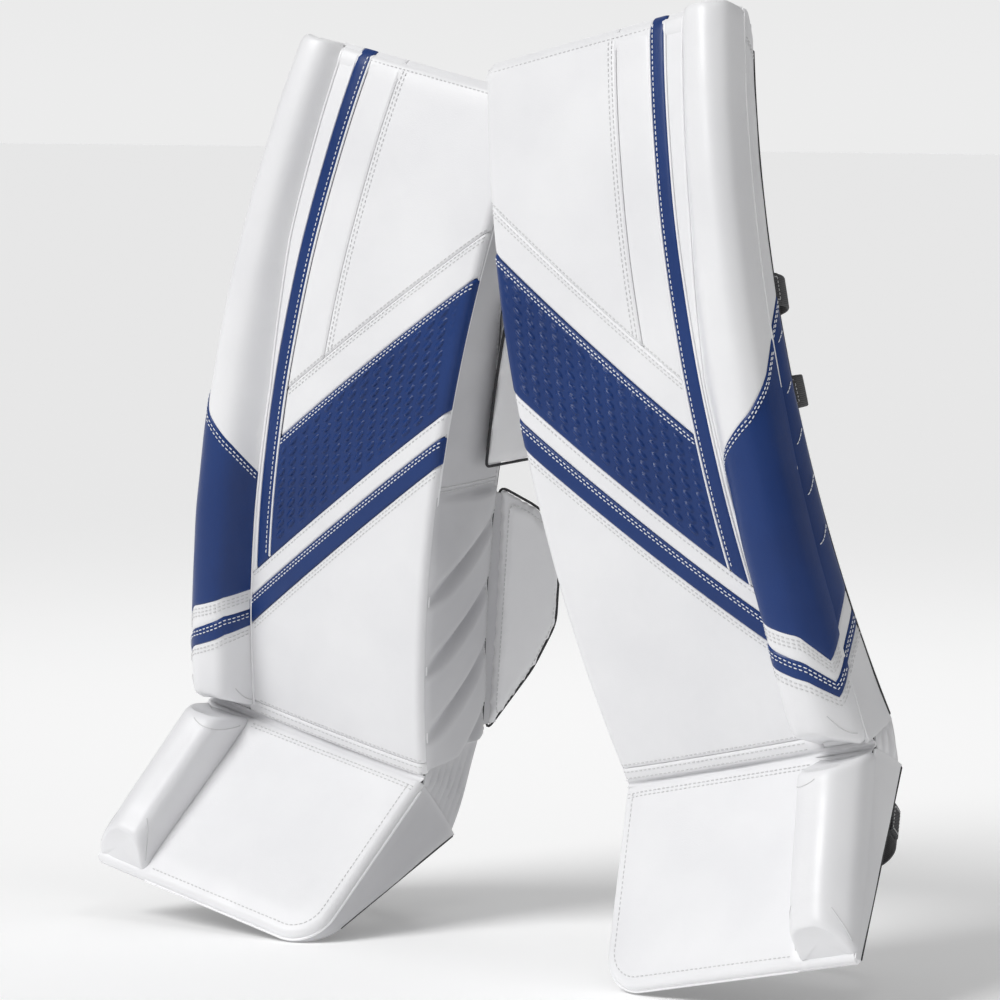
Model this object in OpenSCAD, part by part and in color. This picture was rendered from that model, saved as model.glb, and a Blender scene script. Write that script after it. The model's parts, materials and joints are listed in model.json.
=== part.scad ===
// A pair of ice-hockey goalie leg pads, set up in the goalie's stance: knees in, feet out.
//
// Frame: millimetres, +Z up, both faces towards -Y. The origin is the middle of the left pad's
// leg channel, on the surface of its knee cradle, where the channel opens straight towards +Y.
//
// Each pad is drawn once, as a left pad in its own upright frame, then placed; the right pad is its
// mirror image. In a pad's own frame x runs from the medial (inner) edge of the face to the lateral
// (outer) edge, -y is forward and the origin is the medial end of the boot break, on the face.
// On the leg, s is the distance up along the curved face and d the height in front of the face, so
// what lies behind the face has a negative d. On the boot, t is the distance down from the break.

/* [Leg] */
// Width of one pad across its face
pad_w = 280; // [260:1:300]
// Length of the leg part along its curved face, from the break to the top
leg_len = 697; // [690:1:710]
// Radius of the curve that the leg's face follows
face_r = 1054; // [1000:1:1150]
// Angle by which the face leans forward at the break
break_lean = 20.75; // [18:0.25:22]
// Thickness of the leg body, from face to liner
body_t = 40; // [38:1:44]
// Depth of the medial side wall beside the calf
calf_depth = 100; // [94:1:106]

/* [Boot] */
// Length of the boot part below the break
boot_len = 205; // [195:1:215]
// Depth of the boot's medial side wall at the break
boot_depth = 97; // [90:1:100]
// Depth of the boot's lateral side wall at the break
boot_back = 46; // [42:1:50]
// Thickness of the boot's edge at the toe
toe_t = 11; // [10:1:14]
// Radius of the boot's medial toe corner
toe_corner_r = 40; // [30:1:50]

/* [Outer roll] */
// Width of the outer roll
roll_w = 60; // [54:1:64]
// Height of the outer roll in front of the face
roll_h = 45; // [40:1:48]
// Slope of the roll's lower end and of the boot roll's upper end, from square
roll_mitre = 33.5; // [33:0.5:36]

/* [Skins and foams] */
// Thickness of a face panel
panel_t = 2.4; // [2:0.1:3]
// Thickness of a side wall
wall_t = 2.4; // [2:0.1:3]
// Thickness of the roll's cover
roll_skin_t = 2.2; // [1.8:0.1:2.6]
// Thickness of the back liner
liner_t = 2.2; // [1.8:0.1:2.6]
// Thickness of the plastic board inside the leg
board_t = 1.8; // [1.5:0.1:2.2]
// Clearance between neighbouring layers
layer_gap = 0.3; // [0.2:0.05:0.4]
// Width of the seam between two face panels
seam = 0.6; // [0.4:0.1:0.8]

/* [Face pattern] */
// Height of the chevron's upper edge at the medial side, along the face
chevron_top = 514; // [508:1:520]
// Height of the chevron's lower edge at the medial side
chevron_foot = 383; // [378:1:388]
// Height of the band's lower edge at the medial side
band_foot = 330; // [325:1:335]
// Fall of the chevron's lower edge for each unit of width
chevron_slope = 1.04; // [1:0.01:1.08]
// Fall of the chevron's upper edge for each unit of width
chevron_top_slope = 1.077; // [1.04:0.01:1.1]
// Distance of the vertical stripe from the medial edge
stripe_x = 194; // [190:1:196]
// Width of the vertical stripe
stripe_w = 16; // [14:1:18]

/* [Wings and straps] */
// Thickness of a calf wing
wing_t = 12; // [10:1:14]
// Width of the medial calf wing, from its fold to its free edge
wing_w = 84; // [78:1:88]
// Length of the medial calf wing along its fold
wing_len = 240; // [230:1:246]
// Outward splay of the medial calf wing at rest
wing_splay = 20; // [15:1:25]
// Inward fold of the lateral calf wing at rest, from straight back
outer_wing_fold = 50; // [45:1:55]
// Thickness of a strap
strap_t = 3; // [2.5:0.5:3.5]
// Width of the leg straps
strap_w = 30; // [26:1:32]
// Width of the boot strap
boot_strap_w = 30; // [26:1:32]
// Radius of the hole in the toe bridge
toe_hole_r = 4; // [3.5:0.5:5]

/* [Stance] */
// Inward lean of each pad
lean = 12.5; // [10:0.5:14]
// Half of the distance between the medial ends of the two breaks
half_stance = 120; // [120:1:140]
// Forward angle of the left boot, from the leg's upright
left_boot_angle = 27; // [20:1:42]
// Forward angle of the right boot, from the leg's upright
right_boot_angle = 42; // [20:1:42]

/* [Hidden] */

white = "whitesmoke";
blue = "royalblue";
dark = "dimgray";
foam = "lightgray";

// The right pad stands a little behind and below the mirror image of the left pad.
right_shift = [-48, 64, -28];
far = 400;
curve_fn = 360;
round_fn = 48;

// The leg's curve: its centre lies behind the pad.
centre_y = face_r * cos(break_lean);
centre_z = face_r * sin(break_lean);
core_front = -(panel_t + layer_gap);
liner_front = -(body_t - liner_t);
board_back = liner_front + layer_gap;
board_front = board_back + board_t;
leg_top = leg_len - 3;
leg_foot = 6;
roll_x = pad_w - roll_w;
core_x0 = wall_t + layer_gap;
core_x1 = pad_w - core_x0;

// The medial riser that deepens the calf and knee.
riser_w = 56;
riser_top = 500;
riser_back_gap = 2.7;

// Where the channel's mount lies: there the face looks straight towards -Y.
mount_x = 138;
mount_s = break_lean * PI / 180 * face_r;
cradle_floor = body_t + layer_gap + 13.7;

// Stations along the leg.
wing_s = 172;
calf_strap_s = 329;
knee_strap_s = 432;

// Angle of the face's normal above straight forward, at a height s along the face.
function face_angle(s) = s / face_r * 180 / PI - break_lean;
// The point [y, z] at a height s along the face and d in front of it.
function leg_point(s, d) = [
    centre_y - (face_r + d) * cos(face_angle(s)),
    centre_z + (face_r + d) * sin(face_angle(s))];
// Depth of the medial side wall at a height s.
function side_depth(s) = lookup(s, [
    [0, calf_depth - 8], [60, calf_depth], [330, calf_depth], [400, 78], [480, 56], [leg_len, body_t]]);
// The centre of the circle through three points.
function circle_centre(p, q, r) =
    let (
        a = q - p,
        b = r - p,
        k = 2 * (a.x * b.y - a.y * b.x),
        aa = a * a,
        bb = b * b)
    p + [(b.y * aa - a.y * bb) / k, (a.x * bb - b.x * aa) / k];

// Sweeps a cross-section drawn in (x, d) along the leg's curve, from height s0 to height s1.
module bend(s0, s1)
    translate([0, centre_y, centre_z])
        rotate([90, 0, -90])
            rotate([0, 0, face_angle(s0)])
                rotate_extrude(angle = face_angle(s1) - face_angle(s0), $fn = curve_fn)
                    translate([face_r, 0])
                        rotate(-90)
                            children();

// A rectangle of the cross-section, from x0 to x1 and from d0 to d1.
module block(x0, x1, d0, d1)
    translate([x0, d0])
        square([x1 - x0, d1 - d0]);

// Extrudes a side outline drawn in (y, z) from x0 to x1.
module side_slab(x0, x1)
    translate([x0, 0, 0])
        rotate([90, 0, 90])
            linear_extrude(x1 - x0)
                children();

// Moves what is drawn upright to a height s on the leg, with +y into the pad.
module at_leg(s)
    translate([0, leg_point(s, 0).x, leg_point(s, 0).y])
        rotate([-face_angle(s), 0, 0])
            children();

// Moves what is drawn upright, hanging below the origin, onto the boot.
module on_boot()
    rotate([-$boot_angle, 0, 0])
        children();

// A layer of the leg's face, cut to an outline drawn in (x, s).
module face_layer(outline)
    intersection() {
        bend(0, leg_len)
            block(0, roll_x - seam, -panel_t, 0);
        rotate([90, 0, 0])
            linear_extrude(far, center = true)
                polygon([for (p = outline) [p.x, leg_point(p.y, 0).y]]);
    }

// The roll's cross-section in (x, d), shrunk by an inset, standing on the core.
module roll_outline(inset, base = -panel_t)
    polygon([
        [roll_x + inset, base],
        [roll_x + 3 + inset, 12],
        [roll_x + 12 + inset, roll_h - 7 - inset],
        [roll_x + 19, roll_h - inset],
        [pad_w - 24, roll_h - inset],
        [pad_w - 5 - inset, roll_h - 20],
        [pad_w - inset, roll_h - 33],
        [pad_w - inset, base]]);

// Height of the outer roll above the face at a height s. It lowers towards the top.
function roll_height(s) = lookup(s, [
    [0, roll_h], [60, roll_h - 3], [130, roll_h - 9], [350, roll_h - 18], [500, roll_h - 22], [leg_len, roll_h - 26]]);

// The wedge that slopes a roll's end at the break, drawn upwards in (y, z) from the crease.
module mitre_wedge(rise)
    side_slab(roll_x - 1, pad_w + 1)
        polygon([[10, 0], [0, 0], [-far / 4, rise * far / 4 * tan(roll_mitre)], [-far / 4, -rise * far / 4],
            [10, -rise * far / 4]]);

// A circular strap around the back, through three points of its inner side in (x, y).
module strap_arc(start, middle, end, width)
{
    centre = circle_centre(start, middle, end);
    radius = norm(start - centre);
    start_angle = atan2(start.y - centre.y, start.x - centre.x);
    end_angle = atan2(end.y - centre.y, end.x - centre.x);
    sweep = end_angle > start_angle ? end_angle - start_angle : end_angle - start_angle + 360;
    translate([centre.x, centre.y, -width / 2])
        rotate([0, 0, start_angle])
            rotate_extrude(angle = sweep, $fn = 2 * round_fn)
                translate([radius, 0])
                    square([strap_t, width]);
}

// Laminated foam that carries the face.
module leg_core()
    color(foam)
        bend(leg_foot, leg_top)
            block(core_x0, core_x1, board_front + layer_gap, core_front);

// Plastic board that keeps the leg stiff.
module leg_stiffener()
    color(dark)
        bend(leg_foot + 4, leg_top - 4)
            block(core_x0 + 4, core_x1 - 4, board_back, board_front);

// White cover above the chevron, and the strip between the stripe and the roll.
module thigh_face()
    color(white) {
        face_layer([
            [0, chevron_top + seam],
            [0, leg_top],
            [stripe_x - seam, leg_top],
            [stripe_x - seam, chevron_top + seam - chevron_top_slope * stripe_x]]);
        face_layer([
            [stripe_x + stripe_w + seam, chevron_foot + seam - chevron_slope * (stripe_x + stripe_w)],
            [stripe_x + stripe_w + seam, leg_top],
            [roll_x, leg_top],
            [roll_x, chevron_foot + seam - chevron_slope * roll_x]]);
    }

// Blue embossed panel that runs down across the knee.
module chevron_panel()
    color(blue)
        face_layer([
            [0, chevron_foot + seam],
            [0, chevron_top],
            [stripe_x - seam, chevron_top - chevron_top_slope * (stripe_x - seam)],
            [stripe_x - seam, chevron_foot + seam - chevron_slope * (stripe_x - seam)]]);

// White and blue bands sewn along the chevron's lower edge.
module band_panel()
    color("cornflowerblue")
        face_layer([
            [0, band_foot],
            [0, chevron_foot],
            [roll_x, chevron_foot - chevron_slope * roll_x],
            [roll_x, band_foot - chevron_slope * roll_x]]);

// White cover below the bands, down to the break.
module shin_face()
    color(white)
        face_layer([
            [0, 3],
            [0, band_foot - seam],
            [roll_x, band_foot - seam - chevron_slope * roll_x],
            [roll_x, 3]]);

// Blue stripe from the top of the pad to the chevron's foot.
module face_stripe()
    color(blue)
        face_layer([
            [stripe_x, chevron_foot + seam - chevron_slope * stripe_x],
            [stripe_x, leg_top],
            [stripe_x + stripe_w, leg_top],
            [stripe_x + stripe_w, chevron_foot + seam - chevron_slope * (stripe_x + stripe_w)]]);

// A length of the outer roll's cross-section, kept under the roll's height less an inset.
module roll_length(s0, s1, inset)
    intersection() {
        bend(s0, s1)
            children();
        side_slab(roll_x - 1, pad_w + 1)
            polygon([for (s = [-25 : 25 : leg_len + 25]) leg_point(s, roll_height(s) - inset)]);
    }

// Slopes the outer roll at the break.
module leg_roll()
    difference() {
        children();
        mitre_wedge(1);
    }

// Foam of the outer roll.
module roll_core()
    color(foam)
        leg_roll()
            roll_length(leg_foot + 4, leg_top - 4, roll_skin_t + layer_gap)
                roll_outline(roll_skin_t + layer_gap);

// Cover of the outer roll.
module roll_cover()
    color(white)
        leg_roll()
            difference() {
                roll_length(leg_foot, leg_top, 0)
                    roll_outline(0);
                roll_length(leg_foot - 1, leg_top + 1, roll_skin_t)
                    roll_outline(roll_skin_t, -panel_t - 1);
            }

// Lateral side wall.
module lateral_wall()
    color(white)
        bend(leg_foot, leg_top)
            block(pad_w - wall_t, pad_w, -body_t, core_front);

// Medial side wall with its three raised ridges.
module medial_gusset()
    color(white) {
        side_slab(0, wall_t)
            polygon(concat(
                [for (s = [leg_foot : 16 : leg_top]) leg_point(s, core_front)],
                [for (s = [leg_top : -16 : leg_foot]) leg_point(s, -side_depth(s))]));
        for (s = [48, 122, 196])
            side_slab(-6, 0)
                polygon([
                    leg_point(s, -12), leg_point(s + 66, -calf_depth + 6),
                    leg_point(s + 92, -calf_depth + 6), leg_point(s + 26, -12)]);
    }

// Foam that deepens the medial side from the knee down.
module medial_riser()
    color(foam)
        side_slab(core_x0, core_x0 + riser_w)
            polygon(concat(
                [for (s = [leg_foot : 19 : riser_top]) leg_point(s, -body_t - layer_gap)],
                [for (s = [riser_top : -19 : leg_foot]) leg_point(s, riser_back_gap - side_depth(s))]));

// Back cover of the leg body.
module back_liner()
    color(dark)
        bend(leg_foot, leg_top)
            block(core_x0, core_x1, -body_t, liner_front);

// A padded channel from x0 to x1 behind the liner, its sides higher than its floor.
module cradle(s0, s1, side_h)
    bend(s0, s1)
        mirror([0, 1])
            translate([0, body_t + layer_gap])
                polygon([[66, 0], [66, side_h], [84, side_h], [104, 13.7], [172, 13.7],
                    [192, side_h], [210, side_h], [210, 0]]);

// Pad behind the shin.
module shin_cradle()
    color("gray")
        cradle(40, 350, 26);

// Pad behind the knee.
module knee_cradle()
    color("gray")
        cradle(362, 520, 20);

// Block that the knee lands on, behind the medial side, with a flap over the side.
module knee_block()
    color(white) {
        side_slab(-16, 54)
            polygon(concat(
                [for (s = [348 : 19 : 500]) leg_point(s, -side_depth(s) - 1)],
                [leg_point(500, -104), leg_point(480, -118), leg_point(348, -150)]));
        side_slab(-16, -1)
            polygon([leg_point(324, -62), leg_point(470, -50), leg_point(500, -56), leg_point(500, -104),
                leg_point(480, -118), leg_point(324, -150)]);
    }

// Sewn webbing patches that hold the leg straps.
module strap_anchors()
    color(dark)
        for (s = [calf_strap_s, knee_strap_s])
            at_leg(s)
                translate([226, body_t + 1, -strap_w / 2])
                    cube([32, 4, strap_w]);

// Medial calf wing, splayed outwards.
module calf_wing()
    color(white)
        at_leg(wing_s)
            translate([8, calf_depth + 9, 0])
                rotate([0, 0, wing_splay])
                    side_slab(-wing_t / 2, wing_t / 2)
                        polygon([
                            [8, -wing_len / 2 - 36],
                            [8, wing_len / 2 - 12],
                            [wing_w - 30, wing_len / 2 - 42],
                            [wing_w, wing_len / 2 - 72],
                            [wing_w, -wing_len / 2 + 68],
                            [wing_w - 24, -wing_len / 2 + 24]]);

// Lateral calf wing, folded in towards the channel.
module outer_wing()
    color(white)
        at_leg(wing_s)
            translate([266, body_t + 8, 0])
                rotate([0, 0, outer_wing_fold])
                    side_slab(-wing_t / 2, wing_t / 2)
                        polygon([
                            [5, -wing_len / 2 + 14],
                            [5, wing_len / 2 - 14],
                            [wing_w - 22, wing_len / 2 - 30],
                            [wing_w, wing_len / 2 - 52],
                            [wing_w, -wing_len / 2 + 52],
                            [wing_w - 22, -wing_len / 2 + 30]]);

// Strap around the back of the knee, its free end against the knee block.
module knee_strap()
    color(dark)
        at_leg(knee_strap_s)
            strap_arc([250, body_t + 7], [160, 178], [40, 138], strap_w);

// Strap around the back of the calf, its free end on the medial riser.
module calf_strap()
    color(dark)
        at_leg(calf_strap_s)
            strap_arc([250, body_t + 7], [150, 184], [12, calf_depth + 5], strap_w);

// The boot's outline, seen from the front, in (x, -t), shrunk by an inset.
module boot_outline(inset)
{
    r = toe_corner_r - inset;
    translate([toe_corner_r, -toe_corner_r - (boot_len - 2 * toe_corner_r)])
        circle(r, $fn = round_fn);
    translate([inset, -boot_len + toe_corner_r])
        square([pad_w - 2 * inset, boot_len - toe_corner_r]);
    translate([toe_corner_r, -boot_len + inset])
        square([pad_w - toe_corner_r - inset, boot_len - toe_corner_r]);
}

// A slab of the boot's outline, from y0 to y1.
module boot_slab(inset, y0, y1)
    translate([0, y1, 0])
        rotate([90, 0, 0])
            linear_extrude(y1 - y0)
                boot_outline(inset);

// A wedge across the boot from x0 to x1: its depth falls from the break to the toe.
module boot_wedge(x0, x1, front, break_depth, toe_depth, top = 3, foot = boot_len)
    side_slab(x0, x1)
        polygon([[front, -top], [break_depth, -top], [toe_depth, -foot], [front, -foot]]);

// Foam of the boot, deeper along its medial side.
module boot_core()
    color(foam)
        on_boot()
            intersection() {
                boot_slab(core_x0, 0, far / 2);
                union() {
                    boot_wedge(core_x0, core_x1, -core_front, boot_back - 3, toe_t - 3);
                    boot_wedge(core_x0, core_x0 + riser_w, -core_front, boot_depth - 3, toe_t - 3);
                }
            }

// White cover of the boot's face.
module boot_face()
    color(white)
        on_boot()
            intersection() {
                boot_slab(0, 0, panel_t);
                boot_wedge(0, roll_x - seam, -1, panel_t + 1, panel_t + 1);
            }

// The band of side wall between two outlines of the boot, from x0 to x1.
module boot_side(x0, x1, break_depth)
    on_boot()
        difference() {
            intersection() {
                boot_slab(0, -1, far / 2);
                boot_wedge(x0, x1, -core_front, break_depth, toe_t);
            }
            translate([0, 0, wall_t])
                boot_slab(wall_t, -2, far / 2 + 1);
            boot_slab(wall_t, -2, far / 2 + 1);
        }

// Medial side wall of the boot, round the toe corner to the middle of the toe.
module boot_gusset()
    color(white)
        boot_side(0, pad_w / 2 - seam, boot_depth);

// Lateral side wall of the boot, round the toe to its middle.
module boot_wall()
    color(white)
        boot_side(pad_w / 2, pad_w, boot_back);

// Dark cover under the boot.
module boot_liner()
    color(dark)
        on_boot()
            intersection() {
                boot_slab(core_x0, 0, far / 2);
                side_slab(core_x0 + riser_w + layer_gap, core_x1)
                    polygon([[boot_back - 3 + layer_gap, -3], [boot_back, -3], [toe_t, -boot_len],
                        [toe_t - 3 + layer_gap, -boot_len]]);
            }

// A length of the boot roll, sloped at the break and at the toe.
module boot_roll(t0, t1)
    on_boot()
        difference() {
            translate([0, 0, -t1])
                linear_extrude(t1 - t0)
                    mirror([0, 1])
                        children();
            mitre_wedge(-1);
            side_slab(roll_x - 1, pad_w + 1)
                polygon([[-12, -t1 - 1], [-12, -t1], [-roll_h - 1, -t1 + 16], [-roll_h - 1, -t1 - 1]]);
        }

// Foam of the boot roll.
module boot_roll_core()
    color(foam)
        boot_roll(10, boot_len - 11)
            roll_outline(roll_skin_t + layer_gap);

// Cover of the boot roll.
module boot_roll_cover()
    color(white)
        boot_roll(6, boot_len - 7)
            difference() {
                roll_outline(0);
                roll_outline(roll_skin_t, -panel_t - 1);
            }

// Lug under the toe that the skate's toe cord is tied to.
module toe_bridge()
    color(dark)
        on_boot()
            translate([pad_w / 2, 0, -boot_len + 26])
                difference() {
                    side_slab(-3, 3)
                        polygon([[18.7, 16], [40, 8], [40, -8], [13.2, -16]]);
                    translate([0, 30, 0])
                        rotate([0, 90, 0])
                            cylinder(h = far, r = toe_hole_r, center = true, $fn = round_fn);
                }

// Strap around the back of the skate boot.
module boot_strap()
    color(dark)
        on_boot()
            translate([0, 0, -44])
                strap_arc([262, boot_back - 2], [160, 150], [36, boot_depth - 9], boot_strap_w);

// Places a pad of the given side in the stance.
module pad(side)
{
    $boot_angle = side == "left" ? left_boot_angle : right_boot_angle;
    mount = [mount_x, leg_point(mount_s, -cradle_floor).x, leg_point(mount_s, -cradle_floor).y];
    leaned = [
        mount.x * cos(lean) - mount.z * sin(lean) + half_stance,
        mount.y,
        mount.x * sin(lean) + mount.z * cos(lean)];
    translate(-leaned)
        translate(side == "left" ? [0, 0, 0] : right_shift)
            mirror([side == "left" ? 0 : 1, 0, 0])
                translate([half_stance, 0, 0])
                    rotate([0, -lean, 0])
                        children();
}

for (side = ["left", "right"]) {
    pad(side) leg_core();
    pad(side) leg_stiffener();
    pad(side) thigh_face();
    pad(side) chevron_panel();
    pad(side) band_panel();
    pad(side) shin_face();
    pad(side) face_stripe();
    pad(side) roll_core();
    pad(side) roll_cover();
    pad(side) lateral_wall();
    pad(side) medial_gusset();
    pad(side) medial_riser();
    pad(side) back_liner();
    pad(side) shin_cradle();
    pad(side) knee_cradle();
    pad(side) knee_block();
    pad(side) strap_anchors();
    pad(side) calf_wing();
    pad(side) outer_wing();
    pad(side) knee_strap();
    pad(side) calf_strap();
    pad(side) boot_core();
    pad(side) boot_face();
    pad(side) boot_roll_core();
    pad(side) boot_roll_cover();
    pad(side) boot_gusset();
    pad(side) boot_wall();
    pad(side) boot_liner();
    pad(side) toe_bridge();
    pad(side) boot_strap();
}
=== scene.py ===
from functools import lru_cache
import json
import math

import bmesh
import bpy
import numpy as np
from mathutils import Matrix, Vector


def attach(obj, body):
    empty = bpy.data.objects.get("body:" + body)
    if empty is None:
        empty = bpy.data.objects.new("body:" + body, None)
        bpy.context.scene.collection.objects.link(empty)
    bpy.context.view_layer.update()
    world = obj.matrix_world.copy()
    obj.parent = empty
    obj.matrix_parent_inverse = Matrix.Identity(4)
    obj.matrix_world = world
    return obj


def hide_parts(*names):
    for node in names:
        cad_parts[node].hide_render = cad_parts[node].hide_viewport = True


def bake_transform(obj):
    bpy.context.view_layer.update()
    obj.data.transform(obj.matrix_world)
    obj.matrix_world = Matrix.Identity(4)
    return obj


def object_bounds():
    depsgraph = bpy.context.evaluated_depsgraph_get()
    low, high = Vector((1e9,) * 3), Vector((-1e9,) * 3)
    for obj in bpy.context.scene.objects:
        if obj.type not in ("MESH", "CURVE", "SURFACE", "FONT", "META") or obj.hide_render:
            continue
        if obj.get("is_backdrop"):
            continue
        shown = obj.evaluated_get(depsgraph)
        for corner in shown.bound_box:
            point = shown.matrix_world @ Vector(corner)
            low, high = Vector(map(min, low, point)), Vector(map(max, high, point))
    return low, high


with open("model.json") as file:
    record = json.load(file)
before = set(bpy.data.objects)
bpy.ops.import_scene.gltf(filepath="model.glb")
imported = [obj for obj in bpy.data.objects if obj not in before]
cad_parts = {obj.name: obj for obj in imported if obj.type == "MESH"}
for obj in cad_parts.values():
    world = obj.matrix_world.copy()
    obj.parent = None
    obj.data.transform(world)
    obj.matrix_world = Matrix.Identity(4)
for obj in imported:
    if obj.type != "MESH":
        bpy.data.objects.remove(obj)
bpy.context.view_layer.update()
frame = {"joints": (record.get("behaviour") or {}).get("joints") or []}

# Everything is drawn in a pad's own millimetres and then placed. x runs from the medial edge of the
# face to the lateral edge. On the leg, s is the height along the curved face and d the height in
# front of it; on the boot, t is the distance below the break.
FACE_R = 1054.0
LEAN0 = math.radians(20.75)
CENTRE_Y = FACE_R * math.cos(LEAN0)
CENTRE_Z = FACE_R * math.sin(LEAN0)
LEG_TOP = 694.0
PAD_W = 280.0
BOOT_STOP = 45.0  # degrees from the pad's own vertical at which the boot stops
LINER_D = 40.3
rng = np.random.default_rng(7)


class Pad:
    """One pad: maps its own millimetres to the row frame."""

    def __init__(self, side):
        self.side = side
        joint = next(j for j in frame["joints"] if j["name"] == side + "_boot_flex")
        axis = np.array(joint["axis"], float)
        self.ex = -axis if side == "left" else axis
        self.ey = np.array([0.0, 1.0, 0.0])
        self.ez = np.array([-self.ex[2], 0.0, self.ex[0]])
        if self.ez[2] < 0:
            self.ez = -self.ez
        self.origin = np.array(joint["pos_m"], float) - PAD_W / 2000 * self.ex
        self.beta = math.radians(BOOT_STOP - joint["range_deg"][1])

    def world(self, p):
        p = np.asarray(p, float) / 1000
        return self.origin + p[..., 0:1] * self.ex + p[..., 1:2] * self.ey + p[..., 2:3] * self.ez

    def boot(self, x, t, d):
        x, t, d = np.broadcast_arrays(*(np.asarray(a, float) for a in (x, t, d)))
        s, c = math.sin(self.beta), math.cos(self.beta)
        return np.stack([x, -t * s - d * c, -t * c + d * s], -1)


def leg(x, s, d):
    x, s, d = np.broadcast_arrays(*(np.asarray(a, float) for a in (x, s, d)))
    a = s / FACE_R - LEAN0
    return np.stack([x, CENTRE_Y - (FACE_R + d) * np.cos(a), CENTRE_Z + (FACE_R + d) * np.sin(a)], -1)


def station(s, x, y, z):
    """A point of the flat frame that touches the face at height s, with +y into the pad."""
    a = s / FACE_R - LEAN0
    x, y, z = np.broadcast_arrays(*(np.asarray(q, float) for q in (x, y, z)))
    c, n = math.cos(a), math.sin(a)
    o = leg(0, s, 0)
    return np.stack([x, o[1] + y * c + z * n, o[2] + z * c - y * n], -1)


def lerp_table(v, table):
    t = np.array(table, float)
    return np.interp(v, t[:, 0], t[:, 1])


def side_depth(s):
    return lerp_table(s, [(0, 92), (60, 100), (330, 100), (400, 78), (480, 56), (697, 40)])


def lerp(a, b, v):
    return a + (b - a) * v


def smooth01(t):
    t = np.clip(t, 0, 1)
    return t * t * (3 - 2 * t)


NEAR_EDGE = (0.5, 1.2, 2.2, 3.6)


def spread(a, b, step):
    """Positions from a to b, closer together near both ends."""
    e = np.array([q for q in NEAR_EDGE if q < (b - a) * 0.3])
    margin = e[-1] if len(e) else 0
    lo, hi = a + margin, b - margin
    n = max(2, int(round((hi - lo) / step)) + 1)
    if not len(e):
        return np.linspace(a, b, n)
    return np.r_[a, a + e[:-1], np.linspace(lo, hi, n), b - e[:-1][::-1], b]


RIPPLES = [(rng.uniform(0.008, 0.05), rng.uniform(0, 6.28), rng.uniform(0, 6.28), rng.uniform(0.4, 1))
           for _ in range(14)]


def ripple(x, s, scale=1.0):
    """Soft unevenness of a hand-sewn cover, about +-1."""
    total = 0
    for k, turn, phase, a in RIPPLES:
        total = total + a * np.sin(scale * k * (x * math.cos(turn) + s * math.sin(turn)) + phase)
    return total / 4.0


# --------------------------------------------------------------------------- mesh helpers
def grid_faces(nu, nv, wrap_v=False):
    iu = np.arange(nu - 1)[:, None]
    iv = np.arange(nv if wrap_v else nv - 1)[None, :]
    jv = (iv + 1) % nv
    return np.stack([iu * nv + iv, (iu + 1) * nv + iv, (iu + 1) * nv + jv, iu * nv + jv], -1).reshape(-1, 4)


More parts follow.
